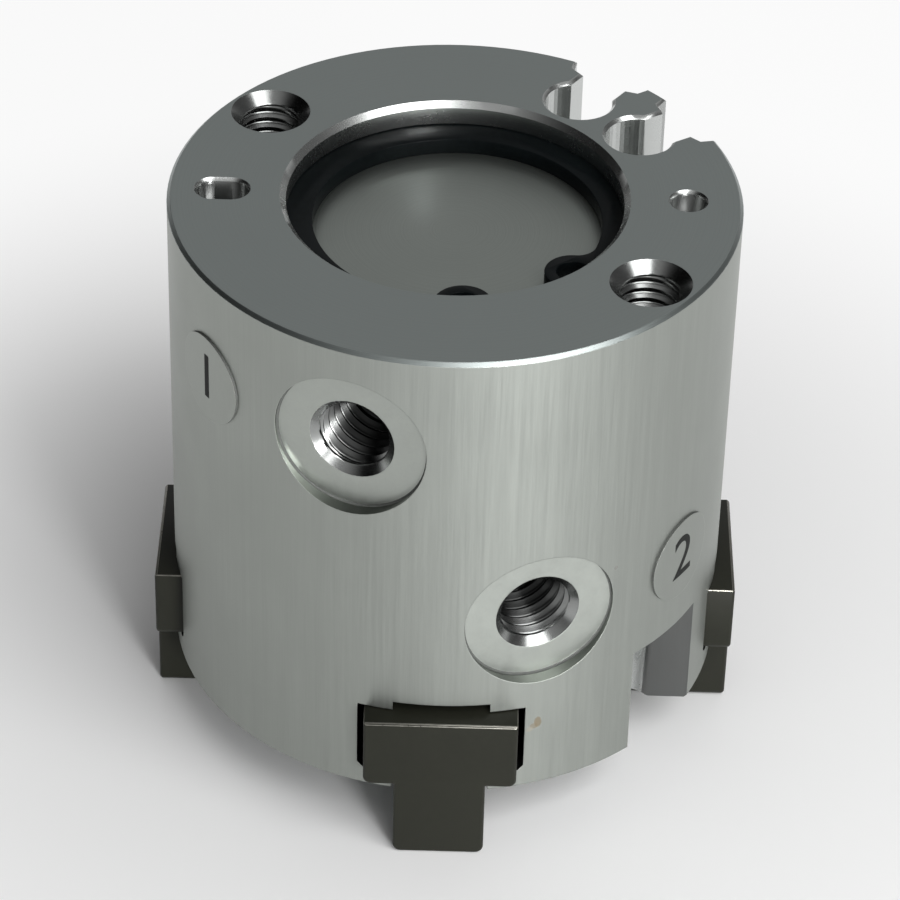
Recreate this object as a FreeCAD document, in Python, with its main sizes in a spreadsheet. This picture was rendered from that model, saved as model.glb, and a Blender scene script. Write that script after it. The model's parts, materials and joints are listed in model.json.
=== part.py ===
import FreeCAD, Part
import math
import os
import types

import Sketcher

# Four-finger parallel gripper, round pneumatic body, mounting face up.
# Millimetres. The origin is on the body axis at the level of the jaw feet, +Z points to the
# mounting face, and the four jaws point along -Y, +X, +Y and -X. Angles run from +X towards +Y.
# The model is drawn with the jaws open: the piston at the bottom of its stroke.

SIZES = [
    # housing, turned outside and bored from both ends
    ("body_diameter", 34.0, "outside of the housing"),
    ("body_height", 32.0, "base face to mounting face"),
    ("rim_chamfer", 0.35, "outer edge of the mounting face"),
    ("base_chamfer", 0.15, "outer edge of the base face"),
    ("bore_chamfer", 0.35, "lead-in of the cover bore"),
    ("cylinder_wall", 8.0, "body side to the bore that the piston runs in"),
    ("cover_shoulder", 1.0, "step that the cover rests on, radial"),
    ("cavity_height", 9.6, "base face to the ceiling of the cam cavity"),
    ("web_thickness", 2.4, "wall between the cam cavity and the cylinder"),
    # jaws and the slots that guide them
    ("foot_drop", 4.0, "how far the jaw feet stand below the base face"),
    ("slot_floor", 1.35, "thickness of the lips under the jaw slots"),
    ("jaw_overhang", 1.0, "body side to the outer face of an open jaw"),
    ("flange_width", 9.2, "sliding flange of a jaw, side to side"),
    ("flange_height", 4.8, "sliding flange of a jaw, up and down"),
    ("flange_inset", 1.22, "cam at its widest to the sliding flange of a jaw"),
    ("stem_width", 5.5, "foot of a jaw, side to side"),
    ("foot_length", 7.0, "foot of a jaw, along its travel"),
    ("crown_height", 0.55, "rib on top of a jaw"),
    ("crown_setback", 3.0, "outer face of a jaw to the start of its rib"),
    ("jaw_corner", 0.5, "rounded lower corners of a jaw"),
    ("jaw_chamfer", 0.12, "edges of the outer face of a jaw"),
    ("slide_gap", 0.05, "running gap of the jaws in their slots"),
    ("stem_gap", 0.15, "gap beside the foot, and above the rib"),
    ("slot_relief", 0.36, "relief beside the flange, above the guide edge"),
    ("finger_thread_core", 2.5, "thread in each jaw foot, drilled"),
    ("finger_thread_depth", 5.0, "thread in each jaw foot, deep"),
    ("finger_thread_setback", 3.5, "outer face of a jaw to its thread"),
    # piston, rod and cam that drive the jaws
    ("jaw_stroke", 2.0, "travel of each jaw"),
    ("cam_travel", 2.5, "travel of piston and cam for that stroke"),
    ("end_gap", 0.25, "piston to either end of the cylinder"),
    ("piston_gap", 0.08, "piston to cylinder wall, radial"),
    ("seal_gap", 0.03, "sliding seals to their wall, radial"),
    ("fit_gap", 0.02, "parts assembled by hand, radial"),
    ("piston_relief_depth", 1.0, "reduced ends of the piston, radial"),
    ("magnet_width", 2.6, "sensor magnet, along the axis"),
    ("magnet_depth", 1.6, "sensor magnet, radial"),
    ("lower_land", 0.6, "full width of the piston below the magnet"),
    ("middle_land", 1.9, "full width of the piston between magnet and seal"),
    ("upper_land", 0.8, "full width of the piston above the seal"),
    ("seal_width", 2.0, "piston seal, along the axis"),
    ("seal_depth", 1.5, "piston seal, radial"),
    ("seal_lip", 0.4, "bevel of each lip of the piston seal, along the axis"),
    ("seal_hollow", 0.5, "hollow between the lips, radial"),
    ("rod_diameter", 6.0, "piston rod"),
    ("rod_spigot", 5.0, "turned-down end of the rod in the piston"),
    ("piston_floor", 3.75, "piston between its screw's head and the rod end"),
    ("rod_gap", 0.04, "rod to its bore, radial"),
    ("ring_section", 1.0, "thickness of the round sealing rings"),
    ("ring_groove", 1.3, "width of the grooves for them"),
    ("cam_clearance", 0.3, "cam above the end plate"),
    ("cam_tip_radius", 4.9, "cam at its lower end"),
    ("cam_wall_gap", 0.62, "cam at its widest to the wall of its cavity"),
    ("cam_neck_width", 2.4, "mouth of the cam slots"),
    ("cam_neck_depth", 0.8, "mouth of the cam slots, radial"),
    ("cam_head_width", 4.0, "undercut of the cam slots"),
    ("cam_head_depth", 1.0, "undercut of the cam slots, radial"),
    ("mitre_gap", 0.15, "between neighbouring jaw tips when closed"),
    # cover and its snap ring
    ("cover_thickness", 3.0, "cover that closes the cylinder"),
    ("cover_gap", 0.04, "cover to its bore, radial"),
    ("cover_chamfer", 0.25, "upper edge of the cover"),
    ("clip_inset", 1.5, "mounting face down to the snap ring"),
    ("clip_thickness", 1.0, "snap ring"),
    ("clip_groove_depth", 0.5, "groove for the snap ring, radial"),
    ("clip_groove_play", 0.05, "groove above and around the snap ring"),
    ("clip_wide", 2.25, "snap ring opposite its gap, radial"),
    ("clip_narrow", 1.6, "snap ring beside its lugs, radial"),
    ("clip_lug_radius", 1.7, "rounded lugs of the snap ring"),
    ("clip_lug_inset", 1.15, "cover bore to the centre of a lug"),
    ("clip_neck_round", 1.2, "hollow corner between each lug and the snap ring"),
    ("clip_lug_spread", 24.0, "lug to the middle of the gap, degrees"),
    ("clip_gap_angle", -62.0, "middle of the gap, degrees"),
    ("clip_hole", 2.0, "plier holes in the lugs"),
    # mounting face
    ("mount_inset", 2.8, "body side to the middle of the mounting threads"),
    ("mount_angle", -37.0, "first mounting thread, degrees"),
    ("mount_core", 3.4, "mounting threads, drilled right through"),
    ("mount_countersink", 4.8, "countersinks on the mounting face"),
    ("pin_hole", 2.0, "round pin hole and width of the pin slot"),
    ("pin_depth", 3.0, "pin hole and pin slot"),
    ("pin_inset", 3.25, "body side to the middle of pin hole and slot"),
    ("pin_slot_length", 3.0, "pin slot, end to end"),
    ("pin_chamfer", 0.18, "edges of pin hole and slot"),
    ("relief_height", 7.6, "corner relief under each mounting thread"),
    ("relief_side", 0.11, "middle of the thread out to the side wall of the relief"),
    ("relief_back", 1.0, "middle of the thread in to the back wall of the relief"),
    ("relief_round", 0.4, "rounded edge where the thread's bore opens into the relief"),
    # air ports
    ("port_core", 4.2, "port threads, drilled"),
    ("port_depth", 5.0, "port threads, deep"),
    ("port_countersink", 5.2, "countersink of the ports"),
    ("spotface_diameter", 9.3, "flat around each port"),
    ("spotface_depth", 0.9, "below the crest of the body"),
    ("spotface_round", 0.12, "rounded corner at the edge of the flat"),
    ("upper_port_drop", 6.8, "below the mounting face"),
    ("lower_port_height", 12.8, "above the base face"),
    ("upper_port_angle", -110.0, "degrees"),
    ("lower_port_angle", -70.0, "degrees"),
    ("passage_diameter", 1.4, "drilling from each port to the cylinder"),
    # round labels beside the ports
    ("label_diameter", 5.7, "label discs"),
    ("label_thickness", 0.15, "label discs"),
    ("upper_label_angle", -145.5, "degrees"),
    ("lower_label_angle", -34.0, "degrees"),
    # sensor grooves
    ("groove_diameter", 4.1, "round bottom of the sensor grooves"),
    ("groove_centre_depth", 3.95, "body crest to the centre of the round"),
    ("groove_neck", 3.0, "opening between the lips"),
    ("groove_lip_depth", 1.25, "body crest to the edge of the lips"),
    ("groove_floor_depth", 1.0, "body crest to the foot of the recess"),
    ("groove_floor_width", 4.6, "outer recess at its foot"),
    ("groove_mouth_width", 5.5, "outer recess at the body crest"),
    ("groove_chamfer", 0.2, "edges of the grooves on the mounting face"),
    ("first_groove_angle", 32.5, "degrees"),
    ("second_groove_angle", 55.5, "degrees"),
    # end plate on the base face
    ("plate_rim", 2.8, "end plate past the edge of the cam cavity"),
    ("plate_gap", 0.1, "end plate to its recess, radial"),
    ("plate_slot_gap", 0.2, "end plate to the feet of closed jaws"),
    ("plate_screw_inset", 1.3, "edge of the end plate to its screws"),
    ("plate_screw_thread", 1.6, "end plate screws, nominal"),
    ("plate_screw_head", 2.8, "end plate screws, across the head"),
    ("plate_screw_length", 4.0, "end plate screws, with the head"),
    ("plate_screw_slot", 0.4, "driver slot, wide and deep"),
    # cap screws on the axis
    ("piston_screw_thread", 3.0, "screw that holds the piston to the rod"),
    ("piston_screw_head", 5.5, "its head, across"),
    ("piston_screw_head_height", 3.0, "its head, high"),
    ("piston_screw_key", 2.5, "its key, across flats"),
    ("piston_screw_tip", 0.25, "end of the screw above the underside of the piston"),
    ("cam_screw_thread", 2.5, "screw that holds the cam to the rod"),
    ("cam_screw_head", 4.5, "its head, across"),
    ("cam_screw_head_height", 2.5, "its head, high"),
    ("cam_screw_key", 2.0, "its key, across flats"),
    ("cam_screw_length", 5.0, "under its head"),
]

JAWS = [("jaw_front", -90.0), ("jaw_right", 0.0), ("jaw_back", 90.0), ("jaw_left", 180.0)]
PLATE_SCREW_ANGLES = (45.0, 135.0, 225.0, 315.0)
BEYOND = 2.0  # how far a cutter reaches past the surface it opens
FULL_TURN = 360.0
HALF_TURN = 180.0
BEVEL_ANGLE = 45.0
HEXAGON = 6
SAME = 1e-4  # two coordinates closer than this are one

Z_AXIS = FreeCAD.Vector(0, 0, 1)
FLAT = FreeCAD.Placement()
UPRIGHT_XZ = FreeCAD.Placement(FreeCAD.Vector(), FreeCAD.Rotation(FreeCAD.Vector(1, 0, 0), 90))
UPRIGHT_YZ = FreeCAD.Placement(FreeCAD.Vector(), FreeCAD.Rotation(FreeCAD.Vector(1, 1, 1), 120))
ALONG_X = FreeCAD.Rotation(FreeCAD.Vector(0, 1, 0), 90)

doc = FreeCAD.newDocument("FourFingerGripper")
sheet = doc.addObject("Spreadsheet::Sheet", "Sizes")
for row, (alias, number, meaning) in enumerate(SIZES, start=1):
    sheet.set("A%d" % row, meaning)
    sheet.set("B%d" % row, str(number))
    sheet.setAlias("B%d" % row, alias)
doc.recompute()


class Size:
    """A number together with the formula that ties it to the spreadsheet."""

    def __init__(self, value, formula):
        self.value = value
        self.formula = formula

    def __add__(self, other):
        return joined(self, "+", other, self.value + value_of(other))

    def __radd__(self, other):
        return joined(other, "+", self, other + self.value)

    def __sub__(self, other):
        return joined(self, "-", other, self.value - value_of(other))

    def __rsub__(self, other):
        return joined(other, "-", self, other - self.value)

    def __mul__(self, other):
        return joined(self, "*", other, self.value * value_of(other))

    def __truediv__(self, other):
        return joined(self, "/", other, self.value / value_of(other))

    def __neg__(self):
        return Size(-self.value, "-(%s)" % self.formula)


def value_of(size):
    return size.value if isinstance(size, Size) else size


def formula_of(size):
    return size.formula if isinstance(size, Size) else repr(float(size))


def joined(left, sign, right, value):
    return Size(value, "(%s %s %s)" % (formula_of(left), sign, formula_of(right)))


def root(size):
    return Size(math.sqrt(size.value), "sqrt(%s)" % size.formula)


def cosine(angle):
    return Size(math.cos(math.radians(angle.value)), "cos(%s)" % angle.formula)


def sine(angle):
    return Size(math.sin(math.radians(angle.value)), "sin(%s)" % angle.formula)


s = types.SimpleNamespace(**{alias: Size(number, "Sizes." + alias) for alias, number, _ in SIZES})

# Levels and radii that several pieces share.
body_radius = s.body_diameter / 2
cylinder_radius = body_radius - s.cylinder_wall
cover_radius = cylinder_radius + s.cover_shoulder
jaw_reach = body_radius + s.jaw_overhang
mount_radius = body_radius - s.mount_inset
pin_radius = body_radius - s.pin_inset
base_z = s.foot_drop
top_z = base_z + s.body_height
slot_z = base_z + s.slot_floor
flange_z = slot_z + s.slide_gap
flange_top_z = flange_z + s.flange_height
crown_z = flange_top_z + s.crown_height
cavity_z = base_z + s.cavity_height
chamber_z = cavity_z + s.web_thickness
clip_top_z = top_z - s.clip_inset
clip_z = clip_top_z - s.clip_thickness
seat_z = clip_z - s.cover_thickness
web_ring_z = cavity_z + s.web_thickness / 2
cover_ring_z = seat_z + s.cover_thickness / 2
cam_z = slot_z + s.cam_clearance
cam_top_z = crown_z
slope = s.jaw_stroke / s.cam_travel
piston_z = chamber_z + s.end_gap
piston_top_z = seat_z - s.end_gap - s.cam_travel
piston_radius = cylinder_radius - s.piston_gap
piston_head_z = piston_top_z - s.piston_screw_head_height - s.end_gap
spigot_z = piston_head_z - s.piston_floor
rod_radius = s.rod_diameter / 2
cam_top_radius = s.cam_tip_radius + (cam_top_z - cam_z) * slope
cavity_radius = cam_top_radius + s.cam_wall_gap
plate_radius = cavity_radius + s.plate_rim
plate_screw_radius = plate_radius - s.plate_screw_inset
plate_recess_radius = plate_radius + s.plate_gap
upper_port_z = top_z - s.upper_port_drop
lower_port_z = base_z + s.lower_port_height

pieces = []


def bind(item, formulas):
    """Tie properties of an object to the sizes they come from."""
    for name, size in formulas.items():
        if isinstance(size, Size):
            item.setExpression(name, size.formula)
        else:
            setattr(item, name, size)
    return item


def move(item, x=0, y=0, z=0):
    """Tie the position of an object to sizes."""
    for axis, size in (("x", x), ("y", y), ("z", z)):
        if isinstance(size, Size):
            item.setExpression("Placement.Base." + axis, size.formula)
    return item


def keep(label, item):
    """Name an object as one finished piece of the gripper."""
    item.Label = label
    pieces.append(item)
    return item


def draw(sketch, corners):
    """Close an outline through corners, each held by its distances from the origin."""
    count = len(corners)
    points = [FreeCAD.Vector(value_of(x), value_of(y), 0) for x, y in corners]
    for index in range(count):
        sketch.addGeometry(Part.LineSegment(points[index], points[(index + 1) % count]), False)
    for index in range(count):
        follower = (index + 1) % count
        sketch.addConstraint(Sketcher.Constraint("Coincident", index, 2, follower, 1))
    for index, (x, y) in enumerate(corners):
        hold(sketch, index, 1, x, y)
    return sketch


def hold(sketch, geometry, point, x, y):
    """Fix one point of a sketch, on an axis where its distance is nought."""
    for kind, size, axis in (("DistanceX", x, -2), ("DistanceY", y, -1)):
        if size is None:
            continue
        if isinstance(size, Size):
            rule = Sketcher.Constraint(kind, -1, 1, geometry, point, size.value)
            number = sketch.addConstraint(rule)
            sketch.setExpression("Constraints[%d]" % number, size.formula)
        else:
            sketch.addConstraint(Sketcher.Constraint("PointOnObject", geometry, point, axis))


def new_sketch(name, placement=FLAT):
    sketch = doc.addObject("Sketcher::SketchObject", name)
    sketch.Placement = placement
    return sketch


def body_sketch(body, name, role):
    """Start a sketch on one of a body's own origin planes."""
    sketch = body.newObject("Sketcher::SketchObject", name)
    plane = [item for item in body.Origin.OriginFeatures if item.Role == role][0]
    sketch.AttachmentSupport = [(plane, "")]
    sketch.MapMode = "FlatFace"
    return sketch


def turned(name, corners):
    """Turn a profile of (radius, height) corners about the body axis."""
    body = doc.addObject("PartDesign::Body", name)
    sketch = draw(body_sketch(body, name + "_profile", "XZ_Plane"), corners)
    turning = body.newObject("PartDesign::Revolution", name + "_turning")
    turning.Profile = sketch
    turning.ReferenceAxis = (sketch, ["V_Axis"])
    turning.Angle = FULL_TURN
    body.Tip = turning
    return body


def pushed(name, sketch, direction, length, symmetric=False):
    """Extrude a free sketch along a direction."""
    solid = doc.addObject("Part::Extrusion", name)
    solid.Base = sketch
    solid.DirMode = "Custom"
    solid.Dir = direction
    solid.Solid = True
    solid.Symmetric = symmetric
    return bind(solid, {"LengthFwd": length})


def cylinder(name, radius, height, x=0, y=0, z=0):
    solid = bind(doc.addObject("Part::Cylinder", name), {"Radius": radius, "Height": height})
    return move(solid, x, y, z)


def cone(name, radius, far_radius, height, x=0, y=0, z=0):
    formulas = {"Radius1": radius, "Radius2": far_radius, "Height": height}
    return move(bind(doc.addObject("Part::Cone", name), formulas), x, y, z)


def box(name, length, width, height, x=0, y=0, z=0):
    formulas = {"Length": length, "Width": width, "Height": height}
    return move(bind(doc.addObject("Part::Box", name), formulas), x, y, z)


def along_x(item):
    """Lay a solid that was made along +Z along +X, keeping its position."""
    item.Placement = FreeCAD.Placement(item.Placement.Base, ALONG_X)
    return item


def around(name, items, angle):
    """Gather solids and turn them about the body axis."""
    group = doc.addObject("Part::Compound", name)
    group.Links = items
    group.Placement = FreeCAD.Placement(FreeCAD.Vector(), FreeCAD.Rotation(Z_AXIS, value_of(angle)))
    if isinstance(angle, Size):
        group.setExpression("Placement.Rotation.Angle", angle.formula)
    return group


def cut(name, base, tool):
    result = doc.addObject("Part::Cut", name)
    result.Base = base
    result.Tool = tool
    return result


def fuse(name, items):
    result = doc.addObject("Part::MultiFuse", name)
    result.Shapes = items
    result.Refine = True
    return result


def common(name, first, second):
    result = doc.addObject("Part::MultiCommon", name)
    result.Shapes = [first, second]
    return result


def edges_where(item, test):
    """Numbers of the edges of a solid that pass a test."""
    doc.recompute()
    return [number for number, edge in enumerate(item.Shape.Edges, start=1) if test(edge)]


def dressed(kind, name, base, numbers, size):
    """Round or bevel numbered edges of a solid by one size."""
    result = doc.addObject(kind, name)
    result.Base = base
    result.Edges = [(number, size.value, size.value) for number in numbers]
    return result


def near(first, second):
    return abs(first - second) < SAME


def groove_outline(name):
    """Section of a sensor groove that opens towards +X: round bottom, neck, recessed mouth."""
    sketch = new_sketch(name)
    neck, centre = s.groove_neck / 2, body_radius - s.groove_centre_depth
    reach = root(s.groove_diameter * s.groove_diameter / 4 - neck * neck)
    flare = (s.groove_mouth_width - s.groove_floor_width) / 2 / s.groove_floor_depth
    outer = s.groove_mouth_width / 2 + flare * BEYOND
    corners = [
        (centre + reach, neck),
        (body_radius - s.groove_lip_depth, neck),
        (body_radius - s.groove_floor_depth, s.groove_floor_width / 2),
        (body_radius + BEYOND, outer),
        (body_radius + BEYOND, -outer),
        (body_radius - s.groove_floor_depth, -(s.groove_floor_width / 2)),
        (body_radius - s.groove_lip_depth, -neck),
        (centre + reach, -neck),
    ]
    points = [FreeCAD.Vector(x.value, y.value, 0) for x, y in corners]
    for start, end in zip(points, points[1:]):
        sketch.addGeometry(Part.LineSegment(start, end), False)
    arc = len(points) - 1
    middle = FreeCAD.Vector(centre.value - s.groove_diameter.value / 2, 0, 0)
    sketch.addGeometry(Part.Arc(points[0], middle, points[-1]), False)
    for index in range(arc - 1):
        sketch.addConstraint(Sketcher.Constraint("Coincident", index, 2, index + 1, 1))
    head, tail = 1, 2
    if sketch.getPoint(arc, tail).distanceToPoint(points[0]) < SAME:
        head, tail = tail, head
    sketch.addConstraint(Sketcher.Constraint("Coincident", arc, head, 0, 1))
    sketch.addConstraint(Sketcher.Constraint("Coincident", arc, tail, arc - 1, 2))
    for index, (x, y) in enumerate(corners[:-1]):
        hold(sketch, index, 1, x, y)
    hold(sketch, arc - 1, 2, *corners[-1])
    hold(sketch, arc, 3, centre, None)
    return sketch


def make_housing():
    groove_radius = cover_radius + s.clip_groove_depth + s.clip_groove_play
    bore_radius = rod_radius + s.rod_gap
    ring_radius = rod_radius + s.seal_gap + s.ring_section + s.fit_gap
    body = turned("housing_blank", [
        (plate_recess_radius, base_z),
        (body_radius - s.base_chamfer, base_z),
        (body_radius, base_z + s.base_chamfer),
        (body_radius, top_z - s.rim_chamfer),
        (body_radius - s.rim_chamfer, top_z),
        (cover_radius + s.bore_chamfer, top_z),
        (cover_radius, top_z - s.bore_chamfer),
        (cover_radius, clip_top_z + s.clip_groove_play),
        (groove_radius, clip_top_z + s.clip_groove_play),
        (groove_radius, clip_z),
        (cover_radius, clip_z),
        (cover_radius, seat_z),
        (cylinder_radius, seat_z),
        (cylinder_radius, chamber_z),
        (bore_radius, chamber_z),
        (bore_radius, web_ring_z + s.ring_groove / 2),
        (ring_radius, web_ring_z + s.ring_groove / 2),
        (ring_radius, web_ring_z - s.ring_groove / 2),
        (bore_radius, web_ring_z - s.ring_groove / 2),
        (bore_radius, cavity_z),
        (cavity_radius, cavity_z),
        (cavity_radius, slot_z),
        (plate_recess_radius, slot_z),
    ])
    add_jaw_slots(body)
    housing = body
    for name, tool in housing_cutters():
        housing = cut("housing_" + name, housing, tool)
    return keep("housing", rounded_reliefs(housing))


def add_jaw_slots(body):
    """Four stepped slots, from the cam cavity out through the wall and down through the base."""
    stem = s.stem_width / 2 + s.stem_gap
    guide = s.flange_width / 2 + s.slide_gap
    side = guide + s.slot_relief
    ceiling = flange_top_z + s.slide_gap * 2
    crest = crown_z + s.stem_gap
    half = [
        (stem, base_z - BEYOND),
        (stem, slot_z),
        (guide, slot_z),
        (side, slot_z + s.slot_relief),
        (side, ceiling),
        (stem, ceiling),
        (stem, crest),
    ]
    mirrored = [(-y, z) for y, z in reversed(half)]
    sketch = draw(body_sketch(body, "jaw_slot_section", "YZ_Plane"), half + mirrored)
    slot = body.newObject("PartDesign::Pocket", "jaw_slot")
    slot.Profile = sketch
    slot.Type = "Length"
    slot.Reversed = True
    bind(slot, {"Length": body_radius + BEYOND})
    pattern = body.newObject("PartDesign::PolarPattern", "jaw_slots")
    pattern.Originals = [slot]
    pattern.Axis = ([item for item in body.Origin.OriginFeatures if item.Role == "Z_Axis"][0], [""])
    pattern.Angle = FULL_TURN
    pattern.Occurrences = len(JAWS)
    body.Tip = pattern


def housing_cutters():
    """Everything drilled or milled into the turned blank, as (name, tool) pairs."""
    through = s.body_height + BEYOND * 2
    yield "sensor_grooves", sensor_groove_tool("sensor_grooves", base_z - BEYOND, through)
    yield "groove_edges", groove_edge_tool()
    yield "mount_holes", mount_hole_tool()
    yield "mount_reliefs", relief_tool()
    yield "pin_holes", pin_tool()
    yield "upper_port", port_tool("upper_port", upper_port_z, s.upper_port_angle)
    yield "lower_port", port_tool("lower_port", lower_port_z, s.lower_port_angle)
    yield "plate_screw_holes", plate_screw_hole_tool()


def sensor_groove_tool(name, floor, height):
    grooves = []
    for number, angle in (("first", s.first_groove_angle), ("second", s.second_groove_angle)):
        sketch = groove_outline("%s_%s_section" % (name, number))
        groove = pushed("%s_%s" % (name, number), sketch, Z_AXIS, height)
        grooves.append(around("%s_%s_turned" % (name, number), [move(groove, z=floor)], angle))
    return fuse(name, grooves)


def groove_edge_tool():
    """The same section again, widening towards the mounting face to break its edges."""
    tool = sensor_groove_tool("groove_edges", top_z - s.groove_chamfer, s.groove_chamfer + s.fit_gap)
    for number in ("first", "second"):
        doc.getObject("groove_edges_" + number).TaperAngle = BEVEL_ANGLE
    return tool


def mount_hole_tool():
    sink = (s.mount_countersink - s.mount_core) / 2
    holes = []
    for number, turn in (("first", 0), ("second", HALF_TURN)):
        name = "mount_%s_" % number
        hole = cylinder(name + "hole", s.mount_core / 2, s.body_height + BEYOND * 2,
                        x=mount_radius, z=base_z - BEYOND)
        edge = cone(name + "sink", s.mount_core / 2, s.mount_countersink / 2 + BEYOND, sink + BEYOND,
                    x=mount_radius, z=top_z - sink)
        holes.append(around(name + "turned", [fuse(name + "tool", [hole, edge])], s.mount_angle + turn))
    return fuse("mount_holes", holes)


def relief_tool():
    """Corner under each mounting thread that lets a nut or a screw head in."""
    side = mount_radius * cosine(s.mount_angle) + s.relief_side
    back = mount_radius * sine(s.mount_angle) + s.relief_back
    reliefs = []
    for number, turn in (("first", 0.0), ("second", HALF_TURN)):
        name = "relief_" + number
        corner = box(name, body_radius, body_radius, s.relief_height + BEYOND,
                     x=side, y=back - body_radius, z=base_z - BEYOND)
        reliefs.append(around(name + "_turned", [corner], turn))
    return fuse("mount_reliefs", reliefs)


def rounded_reliefs(housing):
    """Round the upright edge where a thread's bore opens through the back wall of its relief."""
    back = (mount_radius * sine(s.mount_angle) + s.relief_back).value
    middle = (base_z + s.relief_height / 2).value

    def opens_bore(edge):
        centre = edge.CenterOfMass
        upright = near(abs(edge.tangentAt(edge.FirstParameter).z), 1)
        return upright and near(centre.z, middle) and near(abs(centre.y), abs(back))

    def inside(number):
        edge = housing.Shape.Edges[number - 1]
        return math.hypot(edge.CenterOfMass.x, edge.CenterOfMass.y) < body_radius.value - SAME

    numbers = [number for number in edges_where(housing, opens_bore) if inside(number)]
    return dressed("Part::Fillet", "housing_rounded", housing, numbers, s.relief_round)


def pin_tool():
    """Round pin hole towards +X, and opposite it a slot that lets the second pin find its place."""
    radius, reach = s.pin_hole / 2, pin_radius
    shift = (s.pin_slot_length - s.pin_hole) / 2
    floor = top_z - s.pin_depth
    tools = [cylinder("pin_hole_drill", radius, s.pin_depth + BEYOND, x=reach, z=floor)]
    tools.append(pin_bevel("pin_hole_bevel", reach))
    for number, x in (("inner", -(reach - shift)), ("outer", -(reach + shift))):
        tools.append(cylinder("pin_slot_" + number, radius, s.pin_depth + BEYOND, x=x, z=floor))
        tools.append(pin_bevel("pin_slot_bevel_" + number, x))
    tools.append(box("pin_slot_middle", shift * 2, s.pin_hole, s.pin_depth + BEYOND,
                     x=-(reach + shift), y=-radius, z=floor))
    side = new_sketch("pin_slot_bevel_section", UPRIGHT_YZ)
    lip, foot = radius + s.pin_chamfer, top_z - s.pin_chamfer
    draw(side, [(radius, foot), (lip, top_z), (-lip, top_z), (-radius, foot)])
    bevel = pushed("pin_slot_bevel", side, FreeCAD.Vector(1, 0, 0), shift * 2)
    tools.append(move(bevel, x=-(reach + shift)))
    return fuse("pin_holes", tools)


def pin_bevel(name, x):
    radius = s.pin_hole / 2
    return cone(name, radius, radius + s.pin_chamfer, s.pin_chamfer, x=x, z=top_z - s.pin_chamfer)


def port_tool(name, z, angle):
    """Spot face with a rounded corner, countersink, thread core and drilling to the cylinder."""
    face = body_radius - s.spotface_depth
    end = face - s.port_depth
    sink = (s.port_countersink - s.port_core) / 2
    core, rim = s.port_core / 2, s.port_countersink / 2
    flat = cylinder(name + "_flat", s.spotface_diameter / 2, s.spotface_depth + BEYOND)
    inner = edges_where(flat, lambda edge: edge.Closed and near(edge.CenterOfMass.z, 0))
    rounded = dressed("Part::Fillet", name + "_spotface", flat, inner, s.spotface_round)
    tools = [
        move(along_x(rounded), x=face, z=z),
        move(along_x(cylinder(name + "_core", core, s.port_depth + BEYOND)), x=end, z=z),
        move(along_x(cone(name + "_sink", core, rim, sink)), x=face - sink, z=z),
        move(along_x(cylinder(name + "_passage", s.passage_diameter / 2, end)), x=s.rod_diameter, z=z),
    ]
    return around(name + "_turned", [fuse(name + "_tool", tools)], angle)


def plate_screw_hole_tool():
    holes = []
    for number, angle in enumerate(PLATE_SCREW_ANGLES, start=1):
        name = "plate_screw_hole_%d" % number
        depth = s.plate_screw_length - s.slot_floor + s.end_gap
        radius = s.plate_screw_thread / 2 + s.fit_gap
        hole = cylinder(name, radius, depth, x=plate_screw_radius, z=slot_z)
        holes.append(around(name + "_turned", [hole], angle))
    return fuse("plate_screw_holes", holes)


def make_cover():
    radius = cover_radius - s.cover_gap
    groove = radius - s.ring_section - s.fit_gap
    keep("cylinder_cover", turned("cylinder_cover", [
        (0, seat_z),
        (radius - s.cover_chamfer, seat_z),
        (radius, seat_z + s.cover_chamfer),
        (radius, cover_ring_z - s.ring_groove / 2),
        (groove, cover_ring_z - s.ring_groove / 2),
        (groove, cover_ring_z + s.ring_groove / 2),
        (radius, cover_ring_z + s.ring_groove / 2),
        (radius, clip_z - s.cover_chamfer),
        (radius - s.cover_chamfer, clip_z),
        (0, clip_z),
    ]))
    make_ring("cover_seal", radius - s.ring_section, cover_ring_z)


def make_ring(name, inner, z):
    """Round sealing ring as it sits in its groove, pressed flat where it touches."""
    half, flat = s.ring_section / 2, s.ring_section / 4
    middle = inner + half
    keep(name, turned(name, [
        (middle - half, z - flat),
        (middle - flat, z - half),
        (middle + flat, z - half),
        (middle + half, z - flat),
        (middle + half, z + flat),
        (middle + flat, z + half),
        (middle - flat, z + half),
        (middle - half, z + flat),
    ]))


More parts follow.
